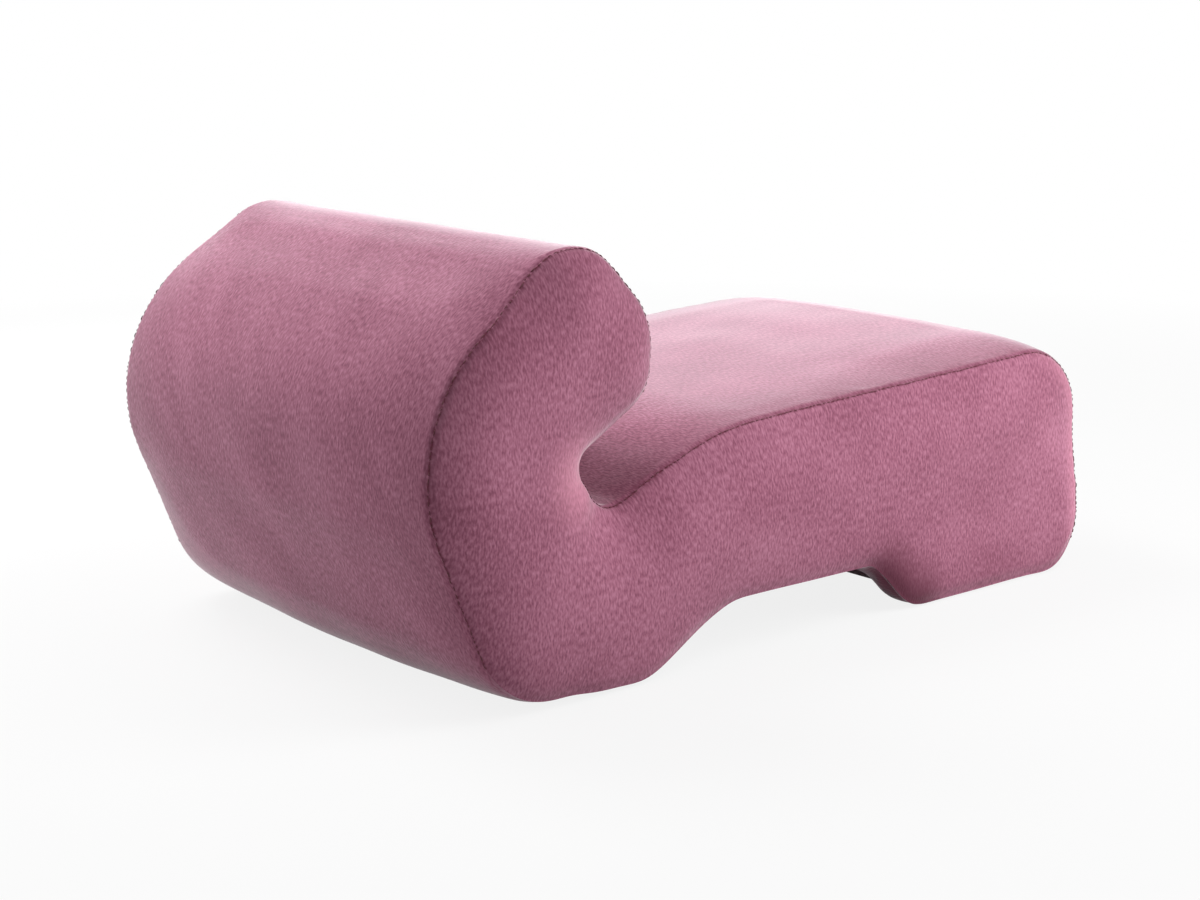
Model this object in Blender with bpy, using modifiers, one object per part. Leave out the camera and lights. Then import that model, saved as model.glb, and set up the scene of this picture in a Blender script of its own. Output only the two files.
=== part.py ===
"""Chaise longue: plywood rib frame, foam and wadding under a sewn plush cover.

Metres, +Z up. X is the width, the foot end points to -Y, the floor is Z = 0.
The shape is one side outline, the outer face of the cover at the edge seam. Every
layer under the cover is that outline moved inwards by the layers above it.
"""

import math

import bmesh
import bpy
from mathutils import Matrix, Vector
from mathutils.geometry import delaunay_2d_cdt

OBJECT_NAME = "chaise_longue"

# Corners of the side outline before rounding: forward of the rear line, and height
BASE_HEIGHT = 0.008
BASE_REAR_FORWARD = 0.128
BACK_FORWARD = -0.058
BACK_HEIGHT = 0.470
TOP_FORWARD = 0.288
TOP_HEIGHT = 0.736
BROW_FORWARD = 0.432
BROW_HEIGHT = 0.577
CHIN_FORWARD = 0.424
CHIN_HEIGHT = 0.458
NOTCH_FORWARD = 0.268
NOTCH_HEIGHT = 0.363
NOTCH_FLOOR_FORWARD = 0.362
NOTCH_FLOOR_HEIGHT = 0.277
SEAT_REAR_FORWARD = 0.585
SEAT_REAR_HEIGHT = 0.386
SEAT_FRONT_FORWARD = 1.500
SEAT_FRONT_HEIGHT = 0.432
TOE_FORWARD = 1.487
HEEL_FORWARD = 1.045
ARCH_FRONT_FORWARD = 0.942
ARCH_REAR_FORWARD = 0.600
ARCH_HEIGHT = 0.097
BASE_FRONT_FORWARD = 0.405

# Radii of those corners
BASE_REAR_RADIUS = 0.150
BACK_RADIUS = 0.270
TOP_RADIUS = 0.100
BROW_RADIUS = 0.120
CHIN_RADIUS = 0.075
NOTCH_RADIUS = 0.034
NOTCH_FLOOR_RADIUS = 0.048
SEAT_REAR_RADIUS = 0.450
SEAT_FRONT_RADIUS = 0.135
TOE_RADIUS = 0.095
HEEL_RADIUS = 0.090
ARCH_FRONT_RADIUS = 0.030
ARCH_REAR_RADIUS = 0.150
BASE_FRONT_RADIUS = 0.120
LEAST_RADIUS = 0.002

# Half widths: at the edge seam, and over the swollen sides, which draw in towards the foot end
BACK_SEAM_HALF = 0.445
HEAD_SEAM_HALF = 0.425
SEAT_SEAM_HALF = 0.408
FOOT_SEAM_HALF = 0.430
SIDE_REAR_HALF = 0.484
SIDE_FRONT_HALF = 0.425
SIDE_ROUND = 0.125

# Swell of the cover across the width, at the middle
BACK_CROWN = 0.012
BASE_CROWN = 0.030
SEAT_CROWN = 0.004
FRONT_CROWN = 0.024
CROWN_POWER = 3.0

# How far the foot's rear face steps in between the side foams, and the width of the step
HEEL_RECESS = 0.055
RECESS_SLOPE = 0.025

# Layers from the outside in
FIT_GAP = 0.0003
SOFT_GAP = 0.0006
COVER_THICKNESS = 0.0025
LINING_THICKNESS = 0.001
WADDING_THICKNESS = 0.006
BACK_FOAM = 0.045
HEAD_FOAM = 0.055
LUMBAR_FOAM = 0.035
SEAT_FOAM = 0.095
FRONT_FOAM = 0.040
BACK_PANEL = 0.005
FRONT_PANEL = 0.006
BASE_PANEL = 0.012
ARCH_PANEL = 0.008
WADDING_SETBACK = 0.010

# Where the layers begin and end, as a share of the arc or straight stretch that they end on
COVER_TURN_UNDER_SHARE = 0.66
COVER_CREASE_SHARE = 0.66
COVER_ARCH_SHARE = 0.33
FOAM_JOINT_SHARE = 0.5
FOAM_TUCK_SHARE = 0.25

# Frame
FRAME_HALF = 0.375
RIB_THICKNESS = 0.018
RAIL_WIDTH = 0.060
RAIL_THICKNESS = 0.022
RAIL_SHOULDER = 0.010
RAIL_COVER = 0.014

# How far along its edge of the ribs each rail lies
RAIL_BASE_REAR_SHARE = 0.66
RAIL_BASE_FRONT_SHARE = 0.22
RAIL_BACK_LOWER_SHARE = 0.48
RAIL_BACK_UPPER_SHARE = 0.40
RAIL_HEAD_SHARE = 0.80
RAIL_LUMBAR_SHARE = 0.55
RAIL_SEAT_REAR_SHARE = 0.10
RAIL_SEAT_MIDDLE_SHARE = 0.46
RAIL_SEAT_FRONT_SHARE = 0.82
RAIL_ARCH_SHARE = 0.50
RAIL_FOOT_REAR_SHARE = 0.80
RAIL_FOOT_FRONT_SHARE = 0.26

# Seat straps
STRAP_COUNT = 6
STRAP_WIDTH = 0.060
STRAP_THICKNESS = 0.002
STRAP_SAG_ROOM = 0.030

# Glides
GLIDE_RADIUS = 0.020
GLIDE_EDGE = 0.003
GLIDE_SPREAD = 0.300
SCREW_RADIUS = 0.002
SCREW_HEAD_RADIUS = 0.004
SCREW_HEAD_HEIGHT = 0.003
SCREW_RECESS = 0.002
SCREW_BITE = 0.009
BASE_GLIDE_SHARE = 0.33
FOOT_GLIDE_SHARE = 0.55

# Fineness of the meshes
ARC_STEP = math.radians(18.0)
STRAIGHT_STEP = 0.200
LEAST_STRAIGHT_STEPS = 3
TURNED_STEPS = 24
SIDE_RINGS = (0.014, 0.034, 0.064, 0.104)
SIDE_LATTICE = 0.090
RING_CLEAR = 0.95
RING_SPACING = 0.6
RIB_POINT_SPACING = 0.004
SHORTEST_STEP = 0.00001
LEAST_BEND = 0.001
MERGE_DISTANCE = 0.00001
CUTTER_OVERRUN = 0.004

# Corners of the outline, in order up the back, over the head and round to the base
(BASE_REAR, BACK, TOP, BROW, CHIN, NOTCH, NOTCH_FLOOR, SEAT_REAR,
 SEAT_FRONT, TOE, HEEL, ARCH_FRONT, ARCH_REAR, BASE_FRONT) = range(14)

# Edges of the outline: each has the number of the corner that it leaves
(LOWER_BACK, UPPER_BACK, HEAD_SLOPE, HEAD_FACE, HEAD_UNDERSIDE, NOTCH_WALL, SEAT_RISE,
 SEAT_TOP, FRONT, FOOT_BOTTOM, FOOT_REAR, ARCH_TOP, ARCH_RAMP, BASE_BOTTOM) = range(14)


class Corner:
    """One corner of the side outline, with the seam width and swell there."""

    def __init__(self, forward, height, radius, seam_half, crown):
        self.point = Vector((forward, height))
        self.radius = radius
        self.seam_half = seam_half
        self.crown = crown


CORNERS = [
    Corner(BASE_REAR_FORWARD, BASE_HEIGHT, BASE_REAR_RADIUS, BACK_SEAM_HALF, BASE_CROWN),
    Corner(BACK_FORWARD, BACK_HEIGHT, BACK_RADIUS, BACK_SEAM_HALF, BACK_CROWN),
    Corner(TOP_FORWARD, TOP_HEIGHT, TOP_RADIUS, HEAD_SEAM_HALF, 0.0),
    Corner(BROW_FORWARD, BROW_HEIGHT, BROW_RADIUS, HEAD_SEAM_HALF, 0.0),
    Corner(CHIN_FORWARD, CHIN_HEIGHT, CHIN_RADIUS, HEAD_SEAM_HALF, 0.0),
    Corner(NOTCH_FORWARD, NOTCH_HEIGHT, NOTCH_RADIUS, HEAD_SEAM_HALF, 0.0),
    Corner(NOTCH_FLOOR_FORWARD, NOTCH_FLOOR_HEIGHT, NOTCH_FLOOR_RADIUS, SEAT_SEAM_HALF, 0.0),
    Corner(SEAT_REAR_FORWARD, SEAT_REAR_HEIGHT, SEAT_REAR_RADIUS, SEAT_SEAM_HALF, SEAT_CROWN),
    Corner(SEAT_FRONT_FORWARD, SEAT_FRONT_HEIGHT, SEAT_FRONT_RADIUS, SEAT_SEAM_HALF, FRONT_CROWN),
    Corner(TOE_FORWARD, BASE_HEIGHT, TOE_RADIUS, FOOT_SEAM_HALF, FRONT_CROWN),
    Corner(HEEL_FORWARD, BASE_HEIGHT, HEEL_RADIUS, FOOT_SEAM_HALF, 0.0),
    Corner(ARCH_FRONT_FORWARD, ARCH_HEIGHT, ARCH_FRONT_RADIUS, FOOT_SEAM_HALF, 0.0),
    Corner(ARCH_REAR_FORWARD, ARCH_HEIGHT, ARCH_REAR_RADIUS, FOOT_SEAM_HALF, 0.0),
    Corner(BASE_FRONT_FORWARD, BASE_HEIGHT, BASE_FRONT_RADIUS, BACK_SEAM_HALF, 0.0),
]
CORNER_COUNT = len(CORNERS)


def turned_left(vector):
    """The flat vector turned a quarter left, which is outwards along the outline."""
    return Vector((-vector.y, vector.x))


def line_crossing(point, direction, other_point, other_direction):
    """Where two flat lines cross."""
    across = direction.x * other_direction.y - direction.y * other_direction.x
    apart = other_point - point
    reach = (apart.x * other_direction.y - apart.y * other_direction.x) / across
    return point + direction * reach


class Outline:
    """The side outline moved inwards by one depth for each edge, with its corners rounded."""

    def __init__(self, depths):
        points = [corner.point for corner in CORNERS]
        self.along = [(points[(i + 1) % CORNER_COUNT] - points[i]).normalized()
                      for i in range(CORNER_COUNT)]
        lines = [points[i] - turned_left(self.along[i]) * depths[i] for i in range(CORNER_COUNT)]
        self.corners = [line_crossing(lines[i - 1], self.along[i - 1], lines[i], self.along[i])
                        for i in range(CORNER_COUNT)]
        self.turns = [self.along[i].angle_signed(self.along[i - 1]) * -1.0
                      for i in range(CORNER_COUNT)]
        self.radii = [self.rounded_radius(i, depths) for i in range(CORNER_COUNT)]

    def rounded_radius(self, i, depths):
        """The corner's radius after the move, limited by the two edges that it joins."""
        depth = (depths[i - 1] + depths[i]) / 2.0
        outside = self.turns[i] > 0.0
        radius = CORNERS[i].radius + (-depth if outside else depth)
        before = (self.corners[i] - self.corners[i - 1]).length
        after = (self.corners[(i + 1) % CORNER_COUNT] - self.corners[i]).length
        room = min(before, after) / 2.0 / math.tan(abs(self.turns[i]) / 2.0)
        return min(max(radius, LEAST_RADIUS), room)

    def tangent_length(self, i):
        return self.radii[i] * math.tan(abs(self.turns[i]) / 2.0)

    def arc_point(self, i, share):
        """A point on corner i's arc, from 0 at its start to 1 at its end."""
        start = self.corners[i] - self.along[i - 1] * self.tangent_length(i)
        side = -math.copysign(1.0, self.turns[i])
        centre = start + turned_left(self.along[i - 1]) * side * self.radii[i]
        spoke = start - centre
        return centre + Matrix.Rotation(-self.turns[i] * share, 2) @ spoke

    def straight_point(self, i, share):
        """A point on edge i's straight stretch, from 0 at its start to 1 at its end."""
        following = (i + 1) % CORNER_COUNT
        start = self.corners[i] + self.along[i] * self.tangent_length(i)
        end = self.corners[following] - self.along[i] * self.tangent_length(following)
        return start.lerp(end, share)

    def point(self, station):
        if station.on_arc:
            return self.arc_point(station.number, station.share)
        return self.straight_point(station.number, station.share)


class Station:
    """A place round the outline that all layers share."""

    def __init__(self, outline, number, on_arc, share):
        self.number = number
        self.on_arc = on_arc
        self.share = share
        following = (number + 1) % CORNER_COUNT
        if on_arc:
            spin = -outline.turns[number] * share
            along = Matrix.Rotation(spin, 2) @ outline.along[number - 1]
            blend = 0.0
        else:
            along = outline.along[number]
            blend = share * share * (3.0 - 2.0 * share)
        self.normal = turned_left(along)
        first = CORNERS[number]
        second = CORNERS[following]
        self.seam_half = first.seam_half + (second.seam_half - first.seam_half) * blend
        swell = first.crown + (second.crown - first.crown) * blend
        self.crown = swell * (1.0 + min(self.normal.y, 0.0))


def even(depth):
    return [depth] * CORNER_COUNT


def recessed(depths):
    """The same depths with the foot's rear face stepped in, as it is over the frame."""
    deeper = list(depths)
    deeper[FOOT_REAR] += HEEL_RECESS
    return deeper


def stations_round(outline):
    """All stations: each corner's arc, then the straight edge that leaves it."""
    found = []
    for i in range(CORNER_COUNT):
        arc_steps = max(2, math.ceil(abs(outline.turns[i]) / ARC_STEP))
        for step in range(arc_steps + 1):
            found.append(Station(outline, i, True, step / arc_steps))
        length = (outline.straight_point(i, 1.0) - outline.straight_point(i, 0.0)).length
        straight_steps = max(LEAST_STRAIGHT_STEPS, math.ceil(length / STRAIGHT_STEP))
        for step in range(1, straight_steps):
            found.append(Station(outline, i, False, step / straight_steps))
    return found


SURFACE = Outline(even(0.0))
MIDDLE_SURFACE = Outline(recessed(even(0.0)))
STATIONS = stations_round(SURFACE)
STATION_COUNT = len(STATIONS)


def swell_at(station, x):
    """Outward swell of the cover at x: a crown over the frame, then straight to the seam."""
    over_frame = min(abs(x), FRAME_HALF)
    swell = station.crown * (1.0 - (over_frame / station.seam_half) ** CROWN_POWER)
    past_frame = (abs(x) - over_frame) / (station.seam_half - FRAME_HALF)
    return swell * (1.0 - past_frame)


def middle_forward():
    """Half way between the rear and the foot end, so that the object is centred on Y."""
    reach = [SURFACE.point(station) + station.normal * station.crown for station in STATIONS]
    forward = [point.x for point in reach]
    return (min(forward) + max(forward)) / 2.0


MIDDLE = middle_forward()
# Side outlines are drawn as forward and height, then stood up on the width axis
SIDE_PLANE = Matrix(((0.0, 0.0, -1.0, 0.0), (-1.0, 0.0, 0.0, MIDDLE),
                     (0.0, 1.0, 0.0, 0.0), (0.0, 0.0, 0.0, 1.0)))


def in_space(x, flat):
    return Vector((x, MIDDLE - flat.x, flat.y))


def arc_station(corner, share=0.0):
    """Number of the station on a corner's arc nearest to the share along it."""
    matches = [k for k in range(STATION_COUNT)
               if STATIONS[k].on_arc and STATIONS[k].number == corner]
    return min(matches, key=lambda k: abs(STATIONS[k].share - share))


def edge_station(edge, share):
    """Number of the station on an edge's straight stretch nearest to the share along it."""
    matches = [k for k in range(STATION_COUNT)
               if not STATIONS[k].on_arc and STATIONS[k].number == edge]
    return min(matches, key=lambda k: abs(STATIONS[k].share - share))


def run_of(first, last):
    """Station numbers from first to last, round the outline."""
    count = (last - first) % STATION_COUNT
    return [(first + step) % STATION_COUNT for step in range(count + 1)]


def trimmed(points):
    """The same points with both ends drawn in, so that neighbours keep the fit gap."""
    points = list(points)
    points[0] = points[0] + (points[1] - points[0]).normalized() * FIT_GAP / 2.0
    points[-1] = points[-1] + (points[-2] - points[-1]).normalized() * FIT_GAP / 2.0
    return points


# Depths of the layers below the outer face of the cover
UNDER_COVER = COVER_THICKNESS + SOFT_GAP
UNDER_WADDING = UNDER_COVER + WADDING_THICKNESS + SOFT_GAP


def by_edge(back, head, lumbar, seat, front, base, arch):
    """One depth for each edge of the outline, over the frame."""
    depths = {LOWER_BACK: back, UPPER_BACK: back, HEAD_SLOPE: head, HEAD_FACE: head,
              HEAD_UNDERSIDE: lumbar, NOTCH_WALL: lumbar, SEAT_RISE: seat, SEAT_TOP: seat,
              FRONT: front, FOOT_BOTTOM: base, FOOT_REAR: arch, ARCH_TOP: arch,
              ARCH_RAMP: arch, BASE_BOTTOM: base}
    return recessed([depths[edge] for edge in range(CORNER_COUNT)])


UNDER_FOAM = by_edge(
    back=UNDER_WADDING + BACK_FOAM, head=UNDER_WADDING + HEAD_FOAM,
    lumbar=UNDER_WADDING + LUMBAR_FOAM, seat=UNDER_WADDING + SEAT_FOAM,
    front=UNDER_WADDING + FRONT_FOAM, base=UNDER_COVER + BASE_PANEL,
    arch=UNDER_COVER + ARCH_PANEL)
RIB_EDGE = by_edge(
    back=UNDER_WADDING + BACK_FOAM + BACK_PANEL + 2 * FIT_GAP,
    head=UNDER_WADDING + HEAD_FOAM + FIT_GAP,
    lumbar=UNDER_WADDING + LUMBAR_FOAM + FIT_GAP,
    seat=UNDER_WADDING + SEAT_FOAM + STRAP_THICKNESS + 2 * FIT_GAP,
    front=UNDER_WADDING + FRONT_FOAM + FRONT_PANEL + 2 * FIT_GAP,
    base=UNDER_COVER + BASE_PANEL + FIT_GAP,
    arch=UNDER_COVER + ARCH_PANEL + FIT_GAP)

WADDING_LAYER = Outline(even(UNDER_COVER))
FOAM_LAYER = Outline(even(UNDER_WADDING))
FOAM_BACKING = Outline(UNDER_FOAM)
RIB_LAYER = Outline(RIB_EDGE)


def make_material(name, colour, roughness, metallic=0.0):
    material = bpy.data.materials.new(name)
    material.use_nodes = True
    shader = material.node_tree.nodes["Principled BSDF"]
    shader.inputs["Base Color"].default_value = (*colour, 1.0)
    shader.inputs["Roughness"].default_value = roughness
    shader.inputs["Metallic"].default_value = metallic
    return material


def plush_material(name):
    return make_material(name, (0.42, 0.16, 0.25), 0.95)


def wadding_material(name):
    return make_material(name, (0.85, 0.85, 0.82), 1.0)


def foam_material(name):
    return make_material(name, (0.80, 0.74, 0.52), 0.95)


def plywood_material(name):
    return make_material(name, (0.62, 0.45, 0.27), 0.6)


def beech_material(name):
    return make_material(name, (0.66, 0.46, 0.29), 0.55)


def strap_material(name):
    return make_material(name, (0.05, 0.05, 0.06), 0.85)


def lining_material(name):
    return make_material(name, (0.02, 0.02, 0.02), 0.95)


def glide_material(name):
    return make_material(name, (0.03, 0.03, 0.03), 0.4)


def steel_material(name):
    return make_material(name, (0.62, 0.62, 0.64), 0.35, 1.0)


def clear_scene():
    for item in list(bpy.data.objects):
        bpy.data.objects.remove(item, do_unlink=True)


def make_collection(name):
    collection = bpy.data.collections.new(name)
    bpy.context.scene.collection.children.link(collection)
    return collection


def add_object(name, data, collection, material_of=None):
    item = bpy.data.objects.new(name, data)
    collection.objects.link(item)
    if material_of:
        data.materials.append(material_of(name))
    return item


def mesh_from(name, points, faces):
    mesh = bpy.data.meshes.new(name)
    mesh.from_pydata([tuple(point) for point in points], [], faces)
    mesh.update()
    return mesh


def shade_smooth(mesh):
    mesh.polygons.foreach_set("use_smooth", [True] * len(mesh.polygons))


def solidify(item, thickness):
    """Gives an open surface its thickness, inwards from its outer face."""
    thick = item.modifiers.new("thickness", "SOLIDIFY")
    thick.thickness = thickness
    thick.offset = -1.0


def cut_away(item, cutter):
    cut = item.modifiers.new("hole", "BOOLEAN")
    cut.operation = "DIFFERENCE"
    cut.solver = "EXACT"
    cut.object = cutter


def inner_columns():
    """Places across the frame's width that all crowned layers share."""
    return [FRAME_HALF, FRAME_HALF / 2.0, 0.0, -FRAME_HALF / 2.0, -FRAME_HALF]


def grid_faces(row_count, column_count, start=0, flip=False):
    faces = []
    for r in range(row_count - 1):
        for c in range(column_count - 1):
            a = start + r * column_count + c
            face = (a, a + 1, a + column_count + 1, a + column_count)
            faces.append(face[::-1] if flip else face)
    return faces


def make_sheet(name, layer, run, setback, thickness, material_of, collection):
    """A crowned sheet round part of the outline, ending a setback short of the seam."""
    flat_points = trimmed([layer.point(STATIONS[k]) for k in run])
    points = []
    for k, flat in zip(run, flat_points):
        station = STATIONS[k]
        edge = station.seam_half - setback
        columns = [edge] + inner_columns() + [-edge]
        points += [in_space(x, flat + station.normal * swell_at(station, x)) for x in columns]
    return add_sheet(name, points, len(run), thickness, material_of, collection)


def make_stepped_sheet(name, run, thickness, material_of, collection):
    """A crowned sheet on the surface that follows the step in the foot's rear face."""
    outer_points = trimmed([SURFACE.point(STATIONS[k]) for k in run])
    middle_points = trimmed([MIDDLE_SURFACE.point(STATIONS[k]) for k in run])
    step_end = FRAME_HALF - RECESS_SLOPE
    points = []
    for k, outer, middle in zip(run, outer_points, middle_points):
        station = STATIONS[k]
        across = [(station.seam_half, outer), (FRAME_HALF, outer), (step_end, middle),
                  (FRAME_HALF / 2.0, middle), (0.0, middle)]
        across += [(-x, flat) for x, flat in across[-2::-1]]
        points += [in_space(x, flat + station.normal * swell_at(station, x)) for x, flat in across]
    return add_sheet(name, points, len(run), thickness, material_of, collection)


def add_sheet(name, points, row_count, thickness, material_of, collection):
    """A thick sheet from its outer face's points, row by row."""
    mesh = mesh_from(name, points, grid_faces(row_count, len(points) // row_count))
    shade_smooth(mesh)
    item = add_object(name, mesh, collection, material_of)
    solidify(item, thickness)
    return item


def make_foam(name, run, collection):
    """A foam block: crowned outside, following the frame inside."""
    outer = trimmed([FOAM_LAYER.point(STATIONS[k]) for k in run])
    inner = trimmed([FOAM_BACKING.point(STATIONS[k]) for k in run])
    columns = inner_columns()
    points = []
    for k, flat in zip(run, outer):
        station = STATIONS[k]
        points += [in_space(x, flat + station.normal * swell_at(station, x)) for x in columns]
    for flat in inner:
        points += [in_space(x, flat) for x in columns]
    rows = len(run)
    width = len(columns)
    back = rows * width
    faces = grid_faces(rows, width) + grid_faces(rows, width, back, flip=True)
    for c in range(width - 1):
        last = back - width + c
        faces.append((c, back + c, back + c + 1, c + 1))
        faces.append((last, last + 1, back + last + 1, back + last))
    for r in range(rows - 1):
        low = r * width
        high = low + width - 1
        faces.append((low, low + width, back + low + width, back + low))
        faces.append((high + width, high, back + high, back + high + width))
    mesh = mesh_from(name, points, faces)
    return add_object(name, mesh, collection, foam_material)


def make_soft_middle(collection):
    """Cover, wadding and foam round the middle, between the two side panels."""
    turn_under = edge_station(BASE_BOTTOM, COVER_TURN_UNDER_SHARE)
    crease = edge_station(NOTCH_WALL, COVER_CREASE_SHARE)
    under_arch = edge_station(ARCH_TOP, COVER_ARCH_SHARE)
    back_start = arc_station(BASE_REAR, FOAM_TUCK_SHARE)
    head_start = arc_station(TOP, FOAM_JOINT_SHARE)
    lumbar_start = arc_station(CHIN, 1.0)
    seat_start = arc_station(NOTCH_FLOOR, FOAM_JOINT_SHARE)
    front_start = arc_station(SEAT_FRONT, FOAM_JOINT_SHARE)
    front_end = arc_station(TOE, 1.0 - FOAM_TUCK_SHARE)
    make_sheet("cover_back", SURFACE, run_of(turn_under, crease), 0.0, COVER_THICKNESS,
               plush_material, collection)
    make_stepped_sheet("cover_seat", run_of(crease, under_arch), COVER_THICKNESS,
                       plush_material, collection)
    make_stepped_sheet("dust_cover", run_of(under_arch, turn_under), LINING_THICKNESS,
                       lining_material, collection)
    make_sheet("wadding_back", WADDING_LAYER, run_of(back_start, crease), WADDING_SETBACK,
               WADDING_THICKNESS, wadding_material, collection)
    make_sheet("wadding_seat", WADDING_LAYER, run_of(crease, front_end), WADDING_SETBACK,
               WADDING_THICKNESS, wadding_material, collection)
    make_foam("foam_back", run_of(back_start, head_start), collection)
    make_foam("foam_head", run_of(head_start, lumbar_start), collection)
    make_foam("foam_lumbar", run_of(lumbar_start, seat_start), collection)
    make_foam("foam_seat", run_of(seat_start, front_start), collection)
    make_foam("foam_front", run_of(front_start, front_end), collection)


SURFACE_POINTS = [SURFACE.point(station) for station in STATIONS]


def nearest_on_surface(flat):
    """Distance from the cover's outline, and the half width of the seam at the nearest place."""
    best = None
    for k in range(STATION_COUNT):
        start = SURFACE_POINTS[k]
        step = SURFACE_POINTS[(k + 1) % STATION_COUNT] - start
        length = step.length
        if length < SHORTEST_STEP:
            continue
        share = min(max((flat - start).dot(step) / length ** 2, 0.0), 1.0)
        distance = (flat - start - step * share).length
        if best is None or distance < best[0]:
            first = STATIONS[k].seam_half
            second = STATIONS[(k + 1) % STATION_COUNT].seam_half
            best = (distance, first + (second - first) * share)
    return best


class SidePlace:
    """A point of the side panel: its place in the side plane, its swell and its slope."""

    def __init__(self, flat):
        distance, seam_half = nearest_on_surface(flat)
        share = min(max(distance - UNDER_COVER, 0.0) / SIDE_ROUND, 1.0)
        rearward_share = 1.0 - flat.x / SEAT_FRONT_FORWARD
        full_half = SIDE_FRONT_HALF + (SIDE_REAR_HALF - SIDE_FRONT_HALF) * rearward_share ** 2
        rise = full_half - seam_half - FIT_GAP
        slope = 2.0 * rise * (1.0 - share) / SIDE_ROUND
        self.flat = flat
        self.x = seam_half + FIT_GAP + rise * (1.0 - (1.0 - share) ** 2)
        self.stretch = math.sqrt(1.0 + slope * slope)

    def under(self, depth):
        """X of a layer that lies this deep under the outer face."""
        return self.x - depth * self.stretch


def loop_points(layer):
    """A layer's outline once round, without repeated points."""
    points = [layer.point(station) for station in STATIONS]
    return [point for k, point in enumerate(points) if (point - points[k - 1]).length > SHORTEST_STEP]


def side_triangles():
    """The side panel's flat mesh inside the foam's outline: points and triangles."""
    rim = loop_points(FOAM_LAYER)
    inside = []
    for ring in SIDE_RINGS:
        for point in loop_points(Outline(even(UNDER_WADDING + ring))):
            clear = nearest_on_surface(point)[0] > UNDER_WADDING + ring * RING_CLEAR
            if clear and all((point - other).length > ring * RING_SPACING for other in inside):
                inside.append(point)
    columns = math.ceil(SEAT_FRONT_FORWARD / SIDE_LATTICE)
    rows = math.ceil(TOP_HEIGHT / SIDE_LATTICE)
    for column in range(columns):
        for row in range(rows):
            point = Vector((column * SIDE_LATTICE, row * SIDE_LATTICE))
            deep = nearest_on_surface(point)[0] > UNDER_WADDING + SIDE_RINGS[-1]
            if deep and is_inside(point, rim) and \
                    all((point - other).length > SIDE_LATTICE * RING_SPACING for other in inside):
                inside.append(point)
    edges = [(k, (k + 1) % len(rim)) for k in range(len(rim))]
    result = delaunay_2d_cdt(rim + inside, edges, [], 1, SHORTEST_STEP / 10.0)
    return len(rim), [Vector(point) for point in result[0]], result[2]


def is_inside(point, loop):
    """Whether a flat point lies inside a closed loop."""
    inside = False
    for k, second in enumerate(loop):
        first = loop[k - 1]
        if (first.y > point.y) != (second.y > point.y):
            crossing = first.x + (point.y - first.y) / (second.y - first.y) * (second.x - first.x)
            if point.x < crossing:
                inside = not inside
    return inside


def make_side(name, sign, triangles, top_of, bottom_of, material_of, collection, rim_layer=None):
    """A side layer: the flat side mesh, swollen to its outer face and its inner face."""
    rim_count, flats, faces = triangles
    flats = list(flats)
    faces = [tuple(face) for face in faces]
    border = list(range(rim_count))
    if rim_layer:
        outer = loop_points(rim_layer)
        start = len(flats)
        flats += outer
        for k in range(rim_count):
            following = (k + 1) % rim_count
            faces.append((k, following, start + following, start + k))
        border = list(range(start, start + rim_count))
    places = [SidePlace(flat) for flat in flats]
    count = len(places)
    points = [in_space(sign * top_of(place), place.flat) for place in places]
    points += [in_space(sign * bottom_of(place), place.flat) for place in places]
    all_faces = list(faces)
    all_faces += [tuple(count + k for k in face[::-1]) for face in faces]
    for k in range(rim_count):
        first = border[k]
        second = border[(k + 1) % rim_count]
        all_faces.append((first, second, count + second, count + first))
    mesh = mesh_from(name, points, all_faces)
    shape = bmesh.new()
    shape.from_mesh(mesh)
    bmesh.ops.recalc_face_normals(shape, faces=shape.faces)
    shape.to_mesh(mesh)
    shape.free()
    shade_smooth(mesh)
    return add_object(name, mesh, collection, material_of)


def make_sides(collection):
    """Side cover, wadding and foam on the outer ribs, right and left."""
    triangles = side_triangles()
    for sign, side in ((-1.0, "right"), (1.0, "left")):
        make_side(f"cover_side_{side}", sign, triangles,
                  lambda place: place.under(0.0),
                  lambda place: place.under(COVER_THICKNESS),
                  plush_material, collection, rim_layer=WADDING_LAYER)
        make_side(f"wadding_side_{side}", sign, triangles,
                  lambda place: place.under(UNDER_COVER),
                  lambda place: place.under(UNDER_COVER + WADDING_THICKNESS),
                  wadding_material, collection)
        make_side(f"foam_side_{side}", sign, triangles,
                  lambda place: place.under(UNDER_WADDING),
                  lambda place: FRAME_HALF + FIT_GAP,
                  foam_material, collection)


def make_flat_curve(name, loops, half_thickness, material_of, collection):
    """A flat outline with holes, extruded to both sides."""
    curve = bpy.data.curves.new(name, "CURVE")
    curve.dimensions = "2D"
    curve.fill_mode = "BOTH"
    curve.extrude = half_thickness
    for loop in loops:
        spline = curve.splines.new("POLY")
        spline.points.add(len(loop) - 1)
        for place, flat in zip(spline.points, loop):
            place.co = (flat.x, flat.y, 0.0, 1.0)
        spline.use_cyclic_u = True
    return add_object(name, curve, collection, material_of)


def thinned(points, spacing):
    """The same loop without points closer together than the spacing."""
    kept = [points[0]]
    for point in points[1:]:
        if min((point - kept[-1]).length, (point - kept[0]).length) > spacing:
            kept.append(point)
    return kept


def bends_of(points):
    """The same loop without points on a straight line between their neighbours."""
    count = len(points)
    kept = []
    for k, point in enumerate(points):
        before = point - points[k - 1]
        after = points[(k + 1) % count] - point
        if abs(before.angle_signed(after)) > LEAST_BEND:
            kept.append(point)
    return kept


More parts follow.
